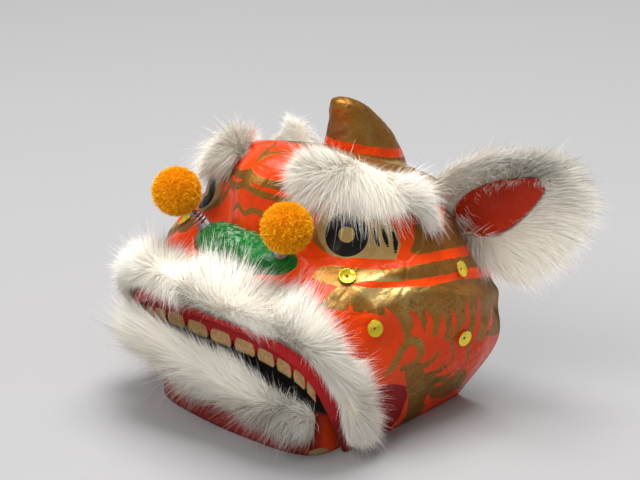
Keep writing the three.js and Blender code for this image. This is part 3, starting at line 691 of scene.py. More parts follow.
def floor_finish():
    finish = Finish("pale studio floor")
    colour = finish.mixed(finish.noise(3.0, 2.0), "floor", "pale floor")
    return finish.shade(Base_Color=colour, Roughness=0.75)


SHELL_PAINT = painted_shell()
PAPER = raw_paper()
MOUTH = mouth_paint()
FUR = rabbit_fur()
STEEL = wire("spring steel", "steel", 0.9, 0.25)
DARK_WIRE = wire("black tape and wire", "black tape", 0.0, 0.5)
WOOL = wool_pile()
SEQUIN_FILM = sequin_film()
EAR_PAINT = ear_paint()

# Paint on the head. Places on it are given as rib and column, and a stroke's half width in millimetres.
EYE = (4.34, 1.93)
EYE_RING = (3.8, 10.4)  # inner and outer radius of the black ring
EYE_RIM = 0.8  # width of the cream round the ring
DEEP_RED_RIB = 0.8
PARAMETER_SCALE = (13.0, 26.0)  # about how many millimetres a rib and a column are
FAR = 99.0  # farther than any paint's edge matters

GOLD_AREAS = {
    "eyelid roll": [
        (2.66, 1.86), (3.0, 1.9), (3.22, 2.1), (3.38, 2.34), (3.64, 2.52), (3.88, 2.66), (4.24, 2.7),
        (4.94, 2.7), (5.68, 2.64), (6.46, 2.58), (7.02, 2.54), (8.2, 2.48), (8.2, 2.68), (7.46, 2.7),
        (6.72, 2.72), (6.04, 2.78), (5.4, 2.84), (4.82, 2.88), (4.28, 2.92), (3.88, 2.9), (3.46, 2.8),
        (3.22, 2.66), (2.9, 2.56), (2.74, 2.42), (2.6, 2.12),
    ],
    "cheek roll": [
        (2.0, 2.26), (2.45, 2.36), (2.7, 2.4), (2.98, 2.62), (3.1, 2.78), (3.46, 2.92), (3.9, 3.0),
        (4.3, 3.04), (5.02, 2.98), (5.94, 2.88), (6.64, 2.86), (7.4, 2.86), (8.2, 2.9), (8.2, 3.95),
        (7.2, 3.9), (6.2, 3.95), (5.3, 3.95), (4.6, 3.85), (4.0, 3.75), (3.45, 3.55), (2.95, 3.25),
        (2.5, 2.95), (2.1, 2.55),
    ],
    "temple": [
        (5.0, 2.54), (5.3, 2.56), (5.7, 2.53), (6.42, 2.46), (7.08, 2.4), (8.2, 2.31), (8.2, 1.3),
        (7.2, 1.5), (6.6, 1.9), (5.6, 2.36),
    ],
    "neck": [(6.4, -0.01), (6.4, 1.3), (7.2, 1.7), (8.2, 1.7), (8.2, -0.01)],
    "hub": [
        (3.25, 4.1), (3.9, 4.2), (4.4, 4.42), (5.2, 4.42), (5.7, 4.5), (6.2, 4.42), (6.9, 4.6), (7.6, 4.84),
        (6.4, 4.84), (5.2, 4.92), (4.6, 5.05), (3.5, 5.05), (4.0, 4.88), (3.7, 4.58), (3.4, 4.4),
    ],
}
RED_TONGUES = {
    "first": [(2.1, 2.95, 3.6), (2.35, 2.84, 1.6), (2.56, 2.72, 0.1)],
    "second": [(2.36, 3.3, 3.0), (2.52, 3.12, 1.6), (2.68, 2.98, 0.1)],
    "great": [(2.4, 3.7, 8.0), (2.86, 3.56, 6.4), (3.12, 3.38, 3.4), (3.08, 3.14, 0.2)],
    "third": [(3.95, 3.9, 1.0), (3.86, 3.72, 2.6), (3.82, 3.5, 1.8), (3.68, 3.3, 0.1)],
    "fourth": [(4.1, 3.9, 1.6), (4.22, 3.7, 1.9), (4.3, 3.54, 1.4), (4.14, 3.38, 0.1)],
    "fifth": [(4.2, 4.22, 1.4), (4.56, 3.9, 2.8), (4.74, 3.66, 1.8), (4.78, 3.44, 0.1)],
    "sixth": [(5.0, 3.95, 1.6), (5.16, 3.74, 1.4), (5.24, 3.54, 1.3), (5.08, 3.38, 0.1)],
    "seventh": [(5.35, 3.95, 2.0), (5.84, 3.6, 1.7), (5.84, 3.38, 1.5), (5.62, 3.22, 0.1)],
    "eighth": [(6.1, 3.95, 2.2), (6.42, 3.64, 2.2), (6.42, 3.38, 1.7), (6.28, 3.1, 0.1)],
    "temple flame 1": [(7.38, 1.66, 2.0), (7.1, 1.9, 1.8), (6.86, 2.18, 0.3)],
    "temple flame 2": [(7.42, 1.66, 1.6), (7.3, 1.92, 1.0), (7.2, 2.16, 0.3)],
    "temple flame 3": [(7.5, 1.64, 1.2), (7.56, 1.88, 1.0), (7.5, 2.08, 0.3)],
    "temple flame 4": [(7.6, 1.7, 0.8), (7.76, 1.96, 0.8), (7.66, 2.16, 0.2)],
    "temple patch": [(7.2, 1.78, 2.4), (6.8, 1.94, 3.0), (6.5, 2.0, 2.4), (6.2, 2.1, 0.8)],
    "temple fleck": [(6.52, 2.14, 1.0), (6.36, 2.22, 0.7), (6.14, 2.32, 0.2)],
    "hub patch": [(4.95, 4.7, 1.0), (5.3, 4.84, 2.4), (5.9, 4.84, 1.0)],
    "hub slit": [(4.9, 4.6, 0.6), (5.3, 4.57, 1.2), (5.7, 4.6, 0.4)],
    "foot": [(4.5, 5.02, 1.2), (5.96, 5.0, 2.2), (7.5, 5.0, 2.4)],
    "ninth": [(6.6, 4.0, 2.4), (7.08, 3.74, 1.8), (7.45, 3.56, 1.5), (7.38, 3.3, 0.1)],
}
GOLD_STROKES = {
    "cross stem": [(3.3, 3.16, 3.0), (3.44, 3.4, 2.2), (3.47, 3.66, 2.0), (3.42, 3.76, 2.4)],
    "cross left": [(3.42, 3.74, 2.0), (3.2, 3.8, 2.3), (2.78, 3.92, 2.2), (2.4, 3.98, 0.8)],
    "cross right": [
        (3.42, 3.74, 2.0), (3.8, 3.84, 2.2), (3.84, 4.02, 2.2), (3.56, 4.1, 2.2), (3.1, 4.06, 1.8),
    ],
    "flame 1": [(3.4, 4.2, 3.2), (4.08, 4.2, 2.0), (4.52, 4.12, 1.3), (4.64, 4.0, 0.3)],
    "flame 2": [(3.9, 4.36, 2.4), (4.72, 4.34, 1.5), (5.1, 4.2, 0.3)],
    "flame 3": [
        (4.3, 4.42, 1.6), (4.9, 4.34, 1.1), (5.4, 4.22, 1.0), (5.24, 4.0, 0.8), (5.05, 3.8, 0.9),
        (5.4, 3.68, 0.3),
    ],
    "flame 4": [(4.76, 4.52, 1.4), (5.62, 4.42, 1.1), (6.1, 4.3, 0.3)],
    "flame 5": [(6.02, 3.86, 0.4), (6.12, 4.1, 0.9), (6.4, 4.3, 0.3)],
    "flame 6": [(6.5, 4.04, 0.3), (6.9, 3.84, 0.9), (7.8, 3.68, 1.0)],
    "neck patch": [(6.1, 4.42, 1.6), (6.6, 4.52, 2.6), (7.04, 4.66, 1.8)],
    "boss ring top": [
        (5.2, -0.1, 2.2), (5.42, -0.02, 2.0), (5.7, 0.08, 1.2), (6.0, 0.24, 0.9), (6.2, 0.45, 0.9),
    ],
    "boss ring side": [
        (5.2, -0.1, 2.2), (5.02, 0.0, 2.2), (4.92, 0.26, 2.0), (4.93, 0.6, 2.2), (4.94, 0.9, 1.8),
        (4.86, 1.15, 1.2),
    ],
    "bridge branch": [
        (4.98, 0.1, 1.6), (4.78, 0.03, 1.8), (4.66, 0.28, 1.8), (4.6, 0.7, 1.6), (4.62, 1.14, 1.2),
    ],
    "bridge wave": [(3.9, 0.7, 0.3), (4.05, 0.5, 1.4), (4.18, 0.26, 1.4), (4.0, 0.0, 1.3)],
    "inner corner": [(4.62, 0.78, 1.0), (4.5, 1.0, 1.6), (4.72, 1.2, 1.8), (4.6, 1.42, 1.2)],
    "eye corner 1": [(4.6, 1.12, 0.7), (4.28, 1.26, 1.1), (3.9, 1.46, 1.2), (3.5, 1.8, 0.6)],
    "eye corner 2": [(4.76, 1.26, 0.7), (4.4, 1.36, 1.1), (3.98, 1.53, 1.2), (3.52, 1.87, 0.7)],
}
EYE_DASHES = {  # black, beside the ring
    "first": [(4.84, 2.12, 0.7), (4.66, 2.22, 1.0), (4.5, 2.32, 0.6)],
    "second": [(5.0, 2.18, 0.7), (4.84, 2.28, 1.1), (4.66, 2.38, 0.6)],
    "third": [(5.18, 2.24, 0.7), (4.98, 2.36, 1.3), (4.66, 2.48, 0.7)],
}
CREAM_AREA = [
    (3.74, 1.66), (3.46, 1.9), (3.44, 2.04), (3.74, 2.3), (4.12, 2.48), (4.46, 2.56), (5.02, 2.42),
    (5.3, 2.26), (5.5, 1.95), (5.1, 1.6), (4.6, 1.45), (4.1, 1.5),
]
CRIMSON_AREA = [
    (1.2, 3.9), (1.92, 4.08), (2.44, 4.12), (3.36, 4.38), (3.64, 4.56), (3.6, 4.86), (3.1, 4.96),
    (2.6, 5.1), (-0.1, 5.1), (-0.1, 3.9),
]


def from_segment(spots, start, end):
    """Distance of spots from a straight line, and how far along it the nearest place is, from 0 to 1."""
    reach = end - start
    along = np.clip(((spots - start) @ reach) / max(reach @ reach, TINY), 0, 1)
    return np.linalg.norm(spots - start - along[:, None] * reach, axis=1), along


def area_distance(rib, column, corners):
    """Distance in millimetres to an area's edge, negative inside it."""
    spots = np.stack([rib, column], -1) * PARAMETER_SCALE
    corners = np.array(corners) * PARAMETER_SCALE
    nearest = np.full(len(spots), FAR)
    inside = np.zeros(len(spots), bool)
    for a, b in zip(corners, np.roll(corners, -1, axis=0)):
        nearest = np.minimum(nearest, from_segment(spots, a, b)[0])
        crosses = (a[1] > spots[:, 1]) != (b[1] > spots[:, 1])
        slope = (b[0] - a[0]) / (b[1] - a[1] if abs(b[1] - a[1]) > TINY else TINY)
        inside ^= crosses & (spots[:, 0] < a[0] + (spots[:, 1] - a[1]) * slope)
    return np.where(inside, -nearest, nearest)


def stroke_distance(points, rows):
    """Distance in millimetres to the edge of a tapered stroke along rows of rib, column and half width."""
    rib, column, half_width = catmull_rom(rows, np.linspace(0, len(rows) - 1, 5 * len(rows))).T
    line = head_at(rib, column)
    nearest = np.full(len(points), FAR)
    for a, b, wide_a, wide_b in zip(line[:-1], line[1:], half_width[:-1], half_width[1:]):
        away, along = from_segment(points, a, b)
        nearest = np.minimum(nearest, away - np.maximum(wide_a + (wide_b - wide_a) * along, 0))
    return nearest


def head_paint(points, rib, column):
    """How far each point of the head is from each paint's edge, and how bright and how brown its gold is: a
    painted highlight makes the gold on the cheek roll brighter, and a painted shade makes a band just below
    it browner.
    """
    level = np.abs(column)
    mirrored = np.where((column < 0)[:, None], points * (-1, 1, 1), points)
    gold = np.minimum.reduce([area_distance(rib, level, corners) for corners in GOLD_AREAS.values()])
    for rows in RED_TONGUES.values():
        gold = np.maximum(gold, -stroke_distance(mirrored, rows))
    for rows in GOLD_STROKES.values():
        gold = np.minimum(gold, stroke_distance(mirrored, rows))
    eye = np.linalg.norm(mirrored - head_at(*map(np.array, EYE)), axis=1)
    black = np.abs(eye - sum(EYE_RING) / 2) - (EYE_RING[1] - EYE_RING[0]) / 2
    for rows in EYE_DASHES.values():
        black = np.minimum(black, stroke_distance(mirrored, rows))
    # the gold is browner below the cheek roll and towards the back
    tarnish = 0.45 + 0.3 * smoothstep(level, 3.0, 3.6) + 0.2 * smoothstep(rib, 4.2, 5.2)
    return {
        "gold_edge": gold,
        "deep_edge": (rib - DEEP_RED_RIB) * PARAMETER_SCALE[0],
        "crimson_edge": area_distance(rib, level, CRIMSON_AREA),
        "cream_edge": np.minimum(area_distance(rib, level, CREAM_AREA), eye - EYE_RING[1] - EYE_RIM),
        "black_edge": black,
        # painted highlight: brighter gold on the cheek roll
        "leaf": 0.35 + 0.45 * hump(rib, 3.4, 0.7) * hump(level, 2.85, 0.4),
        # painted shade: a browner band just below the cheek roll's painted highlight, for the dark reflection
        # there
        "tarnish": tarnish + 0.4 * hump(level, 3.27, 0.13),
    }


def dented(points, normals, amount, wavelength, seed):
    """Points moved along their normals by smooth dents, in millimetres."""
    rng = np.random.default_rng(seed)
    height = np.zeros(len(points))
    for octave in range(3):
        waves = unit(rng.normal(size=(5, 3))) * 2 * np.pi / wavelength * 1.9**octave
        phases = rng.uniform(0, 2 * np.pi, 5)
        height += np.sin(points @ waves.T + phases).mean(axis=1) / 1.7**octave
    return points + normals * (amount * height)[:, None]


def swirl(points, wavelength, seed):
    """A vector at each point that turns smoothly from place to place, about 1 long."""
    rng = np.random.default_rng(seed)
    waves = unit(rng.normal(size=(6, 3))) * 2 * np.pi / (wavelength * rng.uniform(0.7, 1.6, (6, 1)))
    turns = np.sin(points @ waves.T + rng.uniform(0, 2 * np.pi, 6))
    return 0.7 * turns @ rng.normal(size=(6, 3))


def spread(table, count):
    """Stations from the first to the last position of a table of position and density."""
    position, density = np.array(table, float).T
    fine = np.linspace(position[0], position[-1], 2000)
    total = np.concatenate([[0], np.cumsum(np.interp(fine[1:], position, density))])
    stations = np.interp(np.linspace(0, total[-1], count), total, fine)
    stations[0], stations[-1] = position[0], position[-1]
    return stations


# How close the head's points are: at a rib or a column, their density
RIB_DENSITY = [(0, 0.6), (2, 0.8), (3.2, 1.3), (5.6, 1.3), (6.5, 1.0), (8, 0.9)]
COLUMN_DENSITY = [(0, 0.8), (1.4, 1.0), (1.7, 1.5), (2.6, 1.5), (3.0, 1.2), (4.4, 1.1), (5, 0.8)]
MOUTH_DEPTH = 3.5  # the rib up to which the inside is painted black, as painted shade in the mouth


def head_shell():
    ribs = spread(RIB_DENSITY, 141)
    half = spread(COLUMN_DENSITY, 117)
    columns = np.concatenate([-half[:0:-1], half])
    rib, column = all_pairs(ribs, columns)
    smooth = head_at(rib, column)
    paint = head_paint(smooth, rib, column)
    free = smoothstep(smooth[:, 2], 0, 4) * smoothstep(LAST_RIB - rib, 0, 0.3)
    crumpled = dented(smooth, normal_at(rib, column), amount=0.45, wavelength=34, seed=3)
    outer = smooth + (crumpled - smooth) * free[:, None]
    grid = (len(ribs), len(columns), 3)
    points, faces, inside = walled(outer.reshape(grid), head_at(rib, column, -WALL).reshape(grid))
    # faces inside near the mouth take the black painted shade
    near_mouth = np.concatenate([rib, rib])[faces].max(axis=1) < MOUTH_DEPTH
    new_piece(
        "painted_head", points, faces, [SHELL_PAINT, PAPER, MOUTH], "head_shell", "painted_shell",
        finish_of_face=inside * (1 + near_mouth),
        **{name: np.concatenate([value, value]) for name, value in paint.items()},
    )


# Fur
PILE_ARC = math.pi / 2.1
HAIR = {"width": 0.16, "segments": 2, "tuft_size": 13, "tuft_pull": 0.24, "curl": 0.42}
YARN = {"width": 0.5, "segments": 2, "tuft_size": 6, "tuft_pull": 0.55, "curl": 0.3}
LONG_HAIRS = 0.09  # their share of all hairs
LONGER = 1.55


def uneven(rng, count, least, spread_of_lengths):
    """Shares of a hair's length, most of them near the middle of their range."""
    return least + spread_of_lengths * rng.beta(2.2, 2.6, count)


def strip_stations(at, out, up, wide, high):
    return {"at": at, "out": unit(out), "up": unit(up), "wide": wide, "high": high}


def at_stations(stations, place):
    """Each value of a strip's stations, at places counted in stations."""
    count = len(stations["wide"])
    low = np.clip(np.floor(place).astype(int), 0, count - 2)
    u = place - low
    between = {}
    for name, value in stations.items():
        share = u if value.ndim == 1 else u[:, None]
        between[name] = value[low] * (1 - share) + value[low + 1] * share
    return between


def strip_core(stations, fullness, lower=1.0):
    """The matted under-fur of a strip: a closed skin at a share of the pile, less at its lower edge."""
    angles = np.linspace(-PILE_ARC, PILE_ARC, 9)
    at, out, up = (stations[name][:, None] for name in ("at", "out", "up"))
    wide, high = (stations[name][:, None, None] * fullness for name in ("wide", "high"))
    sideways = np.where(angles < 0, lower, 1) * np.sin(angles)
    pile = at + up * wide * sideways[None, :, None] + out * high * np.cos(0.9 * angles)[None, :, None]
    back = at + up * wide * np.array([0.7, -0.7])[None, :, None] - 0.6 * out
    return lofted(np.concatenate([pile, back], axis=1))


def grow_strands(
    rng, roots, directions, combs, lengths, facing, width, segments, tuft_size, tuft_pull, curl
):
    """Tapered ribbons of hair, combed over and drawn into tufts, with their flat sides facing a given way.
    Gives points, faces, how far along its strand each point is, a tone for each strand and soft normals."""
    count = len(roots)
    t = np.linspace(0, 1, segments + 1)[None, :, None]
    sideways = unit(np.cross(directions, rng.normal(size=(count, 3))))
    bend = combs[:, None] + (curl * rng.normal(size=(count, 1)) * sideways)[:, None]
    shape = directions[:, None] * t + bend * t**1.7
    shorter = 1 + 0.35 * np.linalg.norm(bend, axis=-1, keepdims=True)
    lines = roots[:, None] + lengths[:, None, None] * shape / shorter
    leaders = rng.choice(count, max(count // tuft_size, 1), replace=False)
    leader_of = leaders[nearest_finder(roots[leaders])(roots)]
    pull = tuft_pull * rng.uniform(0.3, 1.0, (count, 1, 1)) * t**1.4
    lines = lines + (lines[leader_of] - lines) * pull
    tangents = unit(np.gradient(lines, axis=1))
    flat = unit(np.cross(tangents, facing[:, None] + 0.45 * rng.normal(size=(count, 1, 3))))
    half = 0.5 * width * rng.uniform(0.7, 1.3, (count, 1, 1)) * (1 - 0.85 * t**1.5)
    points = np.stack([lines - flat * half, lines + flat * half], axis=2).reshape(-1, 3)
    of_strand = 2 * (segments + 1)
    first = (np.arange(count)[:, None] * of_strand + 2 * np.arange(segments)).ravel()
    faces = np.stack([first, first + 1, first + 3, first + 2], -1)
    along = np.broadcast_to(t, (count, segments + 1, 2)).ravel()
    tone = np.repeat(rng.uniform(0, 1, count), of_strand)
    soft = unit(facing) + 0.2 * rng.normal(size=(count, 3))
    return points, faces, along, tone, np.repeat(unit(soft), of_strand, axis=0)


def fur_piece(name, node, core, strands, body="head"):
    """A core of matted under-fur and its strands, as one piece."""
    core_points, core_faces = core
    points, faces, along, tone, normals = strands
    rng = np.random.default_rng(len(core_points))
    new_piece(
        name,
        np.concatenate([core_points, points]),
        np.concatenate([core_faces, faces + len(core_points)]),
        [FUR], node, "white_fur", body,
        normals=np.concatenate([mesh_normals(core_points, core_faces), normals]),
        along=np.concatenate([np.full(len(core_points), 0.25), along]),
        tone=np.concatenate([rng.uniform(0, 1, len(core_points)), tone]),
    )


def strip_strands(
    rng, stations, count, length, apart, fan, lean, sweep=0.0, lower=0.5, upper=1.0, root=0.75, tuck=1.0,
    ends=0.5, far=1.0, first_lean=(0, 0, 0), last_lean=(0, 0, 0), rise=0.0,
):
    """Strands over a strip's pile. They lean along the strip away from its middle by apart, away from its
    middle line by fan, across it by sweep, by lean all over, and by first_lean and last_lean at its ends.
    lower, upper, ends and far are their lengths at its edges, its ends and its first end, as shares. tuck is
    how far its lower edge reaches, and rise turns their flat sides up."""
    share = rng.uniform(0, 1, count)
    stations = {**stations, "along": unit(np.gradient(stations["at"], axis=0))}
    here = at_stations(stations, share * (len(stations["wide"]) - 1))
    angle = rng.uniform(-PILE_ARC, PILE_ARC, count)
    tucked = np.where(angle < 0, tuck + (1 - tuck) * (2 * share - 1) ** 4, 1)
    across = (np.sin(angle) * here["wide"] * tucked)[:, None]
    lift = (np.cos(0.9 * angle) * here["high"])[:, None]
    roots = here["at"] + root * (across * here["up"] + lift * here["out"])
    swell = unit(here["up"] * np.sin(angle)[:, None] + here["out"] * np.cos(0.85 * angle)[:, None])
    combs = apart * (2 * share - 1)[:, None] * here["along"] + fan * np.sin(angle)[:, None] * here["up"]
    combs = combs + np.array(lean) + sweep * here["up"] + 0.25 * swirl(roots, wavelength=30, seed=41)
    combs = combs + smoothstep(share, 0.45, 0.1)[:, None] * np.array(first_lean)
    combs = combs + smoothstep(share, 0.55, 0.9)[:, None] * np.array(last_lean)
    directions = unit(swell + 0.9 * combs + 0.17 * rng.normal(size=(count, 3)))
    lengths = length * uneven(rng, count, 0.4, 0.7)
    lengths = lengths * np.clip(here["high"] / stations["high"].max(), ends, 1)
    lengths = lengths * (lower + (1 - lower) * smoothstep(angle, -1.3, 0.3))
    lengths = lengths * (1 - (1 - upper) * smoothstep(angle, -0.3, 1.2))
    lengths = lengths * np.where(rng.uniform(0, 1, count) < LONG_HAIRS, LONGER, 1)
    lengths = lengths * (1 + (far - 1) * smoothstep(share, 0.6, 0.05))
    return grow_strands(rng, roots, directions, combs, lengths, unit(swell + (0, 0, rise)), **HAIR)


def lip_fur():
    column = np.linspace(-4.5, 4.5, 60)
    waist = np.sqrt(1 - (np.abs(column) / 4.8) ** 6) * (1 - 0.28 * hump(np.abs(column), 3.1, 0.75))
    waist = waist * (1 - 0.35 * smoothstep(-column, 1.4, 2.8))
    rib = 1.0 + 0.22 * hump(column, 1.2, 2.2) + 0.28 * hump(column, -0.9, 0.9)
    up = head_at(rib + 0.25, column) - head_at(rib - 0.25, column)
    stations = strip_stations(head_at(rib, column), normal_at(rib, column), up, 11 * waist, 10 * waist)
    strands = strip_strands(
        np.random.default_rng(11), stations, count=38000, length=16, apart=0.8, fan=0.45, lean=(0, 0, -0.25),
        sweep=0.45, lower=0.6, upper=0.85, tuck=0.35, ends=0.6, far=0.7, first_lean=(0.1, -0.2, -1.1),
        rise=0.25,
    )
    fur_piece("upper_lip_pile", "lip_fur", strip_core(stations, 0.85, 0.2), strands)


# Lower jaw
JAW_OUTLINE = [  # x, y, height, flare
    (50, 53, 17, 0), (54, 32, 15, 0), (56, 10, 17, 0.4), (53, -5, 24, 2.5),
    (40, -12, 31, 5), (20, -14.5, 34, 6.5), (0, -15.5, 35, 7),
]
JAW_ENDS = len(JAW_OUTLINE) - 1
JAW_WHOLE = np.array([(-x, *rest) for x, *rest in JAW_OUTLINE] + JAW_OUTLINE[-2::-1], float)


def jaw_at(place, level, inward):
    """A point of the jaw's wall. place runs from the right arm's end to the left one's, level from 0 to 1."""
    place, level = np.broadcast_arrays(np.asarray(place, float), np.asarray(level, float))
    station = place + JAW_ENDS
    x, y, height, flare = np.moveaxis(catmull_rom(JAW_WHOLE, station), -1, 0)
    before = catmull_rom(JAW_WHOLE, np.maximum(station - 0.02, 0))
    after = catmull_rom(JAW_WHOLE, np.minimum(station + 0.02, len(JAW_WHOLE) - 1))
    tangent = unit((after - before)[..., :2])
    out = flare * level**2 - inward
    return np.stack([x + tangent[..., 1] * out, y - tangent[..., 0] * out, height * level], -1)


def jaw_fur():
    place = np.linspace(-3.2, 2.95, 44)
    fade = np.sqrt(1 - (np.abs(place + 0.12) / 3.25) ** 6) * (1 - 0.35 * smoothstep(place, 1.0, 2.9))
    level = 0.93 - 0.03 * place + 0.2 * hump(place, -1.3, 1.4)
    at = jaw_at(place, level, 0)
    up = jaw_at(place, 1, 0) - jaw_at(place, 0.5, 0)
    stations = strip_stations(at, jaw_at(place, level, -1) - at, up, 9.5 * fade, 8.5 * fade)
    strands = strip_strands(
        np.random.default_rng(12), stations, count=31000, length=15.6, apart=0.3, fan=0.3,
        lean=(-0.75, -0.06, 0.05), sweep=0.2, lower=0.85, upper=0.8, root=0.65, ends=0.9, far=1.3,
        first_lean=(0, 0, 0.8), last_lean=(0.3, 0, -0.4),
    )
    fur_piece("lower_lip_pile", "jaw_fur", strip_core(stations, 0.75), strands, "jaw")


def brow_fur(hand, side):
    """A brow's tuft. The right one lies a little farther out, and its hair is longer and droops more."""
    u = np.linspace(0, 1, 24)
    rib = 5.3 + 1.4 * u
    column = side * (0.82 - 0.1 * side + 1.18 * u)
    at, out = head_at(rib, column), normal_at(rib, column)
    fade = np.sqrt(np.maximum(0.02, 1 - (np.abs(2 * u - 1) / 1.01) ** 4))
    stations = strip_stations(at, out, np.cross(out, np.gradient(at, axis=0)), 11 * fade, 8 * fade)
    lower, upper = (0.75, 0.5)[::side]
    strands = strip_strands(
        np.random.default_rng(13 + side), stations, count=22000, length=20 - side, apart=0.6, fan=0.45,
        lean=(0, -0.15, -0.65 + 0.2 * side), lower=lower, upper=upper, root=0.65, ends=0.55,
        rise=1.2 - 0.4 * side,
    )
    pointed = 1 - 0.6 * np.abs(2 * u - 1) ** 3
    core = {**stations, "high": stations["high"] * pointed, "wide": stations["wide"] * pointed}
    fur_piece("brow_pile_" + hand, "brow_fur_" + hand, strip_core(core, 0.72), strands)


class HeadSurface:
    """Finds the place of the painted head that is nearest to a point."""

    def __init__(self):
        ribs, columns = np.linspace(0, LAST_RIB, 121), np.linspace(-LAST_COLUMN, LAST_COLUMN, 161)
        rib, column = all_pairs(ribs, columns)
        self.points = head_at(rib, column)
        self.normals = normal_at(rib, column)
        self.nearest = nearest_finder(self.points)

    def seated(self, points, sink=0.5):
        """Points, with those that lie under the painted face raised to just under it."""
        nearest = self.nearest(points)
        normals = self.normals[nearest]
        height = np.einsum("ij,ij->i", points - self.points[nearest], normals)
        return points + normals * np.maximum(-sink - height, 0)[:, None]


HEAD_SURFACE = HeadSurface()


# Nose
NOSE_CENTRE = np.array([0, 1, 84])
NOSE_HALF = np.array([34, 13, 16])
NOSE_SWEEP = 4
NOSE_FULLNESS = 2.6
FROST = {"half width": 13, "from": 90, "full": 97}  # a painted highlight, as pale crackle along the nose's top


def nose():
    u = np.sin(np.linspace(-math.pi / 2, math.pi / 2, 73))[1:-1]
    angle = ring_angles(96)
    shrink = np.sqrt(1 - np.abs(u) ** NOSE_FULLNESS)[:, None]
    rings = np.stack([u[:, None] + 0 * angle, shrink * np.cos(angle), shrink * np.sin(angle)], -1)
    rings = rings * NOSE_HALF + NOSE_CENTRE
    rings[..., 1] += NOSE_SWEEP * (u**2)[:, None]
    points, faces = lofted(rings)
    points = dented(points, mesh_normals(points, faces), amount=0.5, wavelength=17, seed=5)
    points = HEAD_SURFACE.seated(points)
    # painted highlight along the nose's top
    frost = smoothstep(points[:, 2], FROST["from"], FROST["full"])
    frost = frost * hump(points[:, 0], 0, FROST["half width"])
    new_piece("lacquered_nose", points, faces, [green_lacquer()], "nose", "green_nose", frost=frost)


# Horn
HORN = [  # y, z, deep, wide
    (89, 94, 24, 21), (89, 109, 23.5, 20), (87.5, 121, 22, 17.5),
    (84, 133, 17.5, 13.5), (78, 143, 12, 9.5), (73.5, 149.5, 6, 5.5),
]
HORN_STEP = 12.5  # about how many millimetres a row of the horn is
HORN_LEAN = 0.28
BEAD = {"level": 1.15, "half": 0.2, "height": 2.2}
RED_BAND = {"level": 2.0, "half width": 2.5}


def horn():
    level = np.concatenate([np.linspace(0, 4.6, 120), 4.6 + 0.4 * np.sin(np.linspace(0.05, math.pi / 2, 16))])
    y, z, deep, wide = (row[:, None] for row in catmull_rom(HORN, level).T)
    bead = (BEAD["height"] * hump(level, BEAD["level"], BEAD["half"]))[:, None]
    closing = np.sqrt(np.clip(1 - (np.maximum(level - 4.4, 0) / 0.62) ** 2, 0.02, 1))[:, None]
    angle = ring_angles(84)
    back = (deep * closing + bead) * np.cos(angle)
    rings = np.stack([(wide * closing + bead) * np.sin(angle), y + back, z - HORN_LEAN * back], -1)
    points, faces = lofted(rings)
    points = dented(points, mesh_normals(points, faces), amount=0.4, wavelength=15, seed=8)
    points = HEAD_SURFACE.seated(points)
    levels = np.repeat(np.concatenate([level[:1], level, level[-1:]]), len(angle))
    band = np.abs(levels - RED_BAND["level"]) * HORN_STEP - RED_BAND["half width"]
    # painted highlight: brighter gold round the bead, with no tarnish where it is brightest
    bright = np.clip(0.3 + 0.7 * hump(levels, BEAD["level"] + 0.1, 0.4), 0, 1)
    height = points[:, 2]
    # the horn's upper front, darker partly as wear and partly as painted shade
    front = smoothstep(-points[:, 1], -76, -64) * smoothstep(height, 124, 134) * smoothstep(height, 150, 140)
    new_piece(
        "gold_horn", points, faces, [horn_paint()], "horn", "gold_horn",
        band_edge=band, leaf=bright, tarnish=0.7 - 0.7 * (bright > 0.5), worn=0.6 * front,
    )


# Teeth
TEETH = {"columns": 3.1, "top": 0.55, "lip": 0.12, "drop": 13, "taper": 0.35, "count": 12}
TOOTH_WIDTH = 11
NOTCH_DEPTH = 5
NOTCH_HALF = 0.13  # as a share of a tooth
GLUE = 0.7
GLUED_ROWS = 5
FREE_ROWS = 12
GUM = {"arch": 6.8, "flat": 0.35, "beside": 0.7, "narrowing": 0.12}


def teeth():
    column = np.linspace(-TEETH["columns"], TEETH["columns"], 24 * TEETH["count"] + 1)
    tooth = np.linspace(0, TEETH["count"], len(column))
    beside = np.abs(tooth - np.round(tooth)) / NOTCH_HALF
    inner_notch = (np.round(tooth) > 0) & (np.round(tooth) < TEETH["count"])
    raised = NOTCH_DEPTH * np.clip(1 - beside, 0, 1) * inner_notch
    drop = TEETH["drop"] * (1 - TEETH["taper"] * (np.abs(column) / TEETH["columns"]) ** 3) - raised
    down = np.linspace(0, 1, FREE_ROWS + 1)[1:]

    def face(outside):
        top, lip = (head_at(np.full(len(column), TEETH[rib]), column, outside) for rib in ("top", "lip"))
        tip = lip - drop[:, None] * (0, 0, 1)
        glued = [top + (lip - top) * u for u in np.linspace(0, 1, GLUED_ROWS)]
        return np.stack(glued + [lip + (tip - lip) * u for u in down])

    points, faces, _ = walled(face(-WALL - GLUE), face(-WALL - GLUE - CARD))
    whole = drop + raised
    over_tip = np.concatenate([np.tile(whole + 3, (GLUED_ROWS, 1)), whole * (1 - down[:, None])])
    off_middle = np.abs(tooth - np.floor(tooth) - 0.5)
    arch = GUM["arch"] * (1 - GUM["flat"] * (2 * off_middle) ** 5)
    gap = (0.5 - off_middle) * TOOTH_WIDTH - GUM["beside"] - GUM["narrowing"] * over_tip
    gum = np.minimum(arch - over_tip, gap).ravel()
    new_piece(
        "card_teeth", points, faces, [tooth_paint()], "upper_teeth", "tooth_card",
        gum_edge=np.concatenate([gum, gum]),
    )


# Lower jaw's wall, floor and bore
BORE = {"radius": 2.3, "height": 9, "half length": 90, "sides": 32}
TORN = {"place": 3.15, "scale": 11, "reach": 4.5}


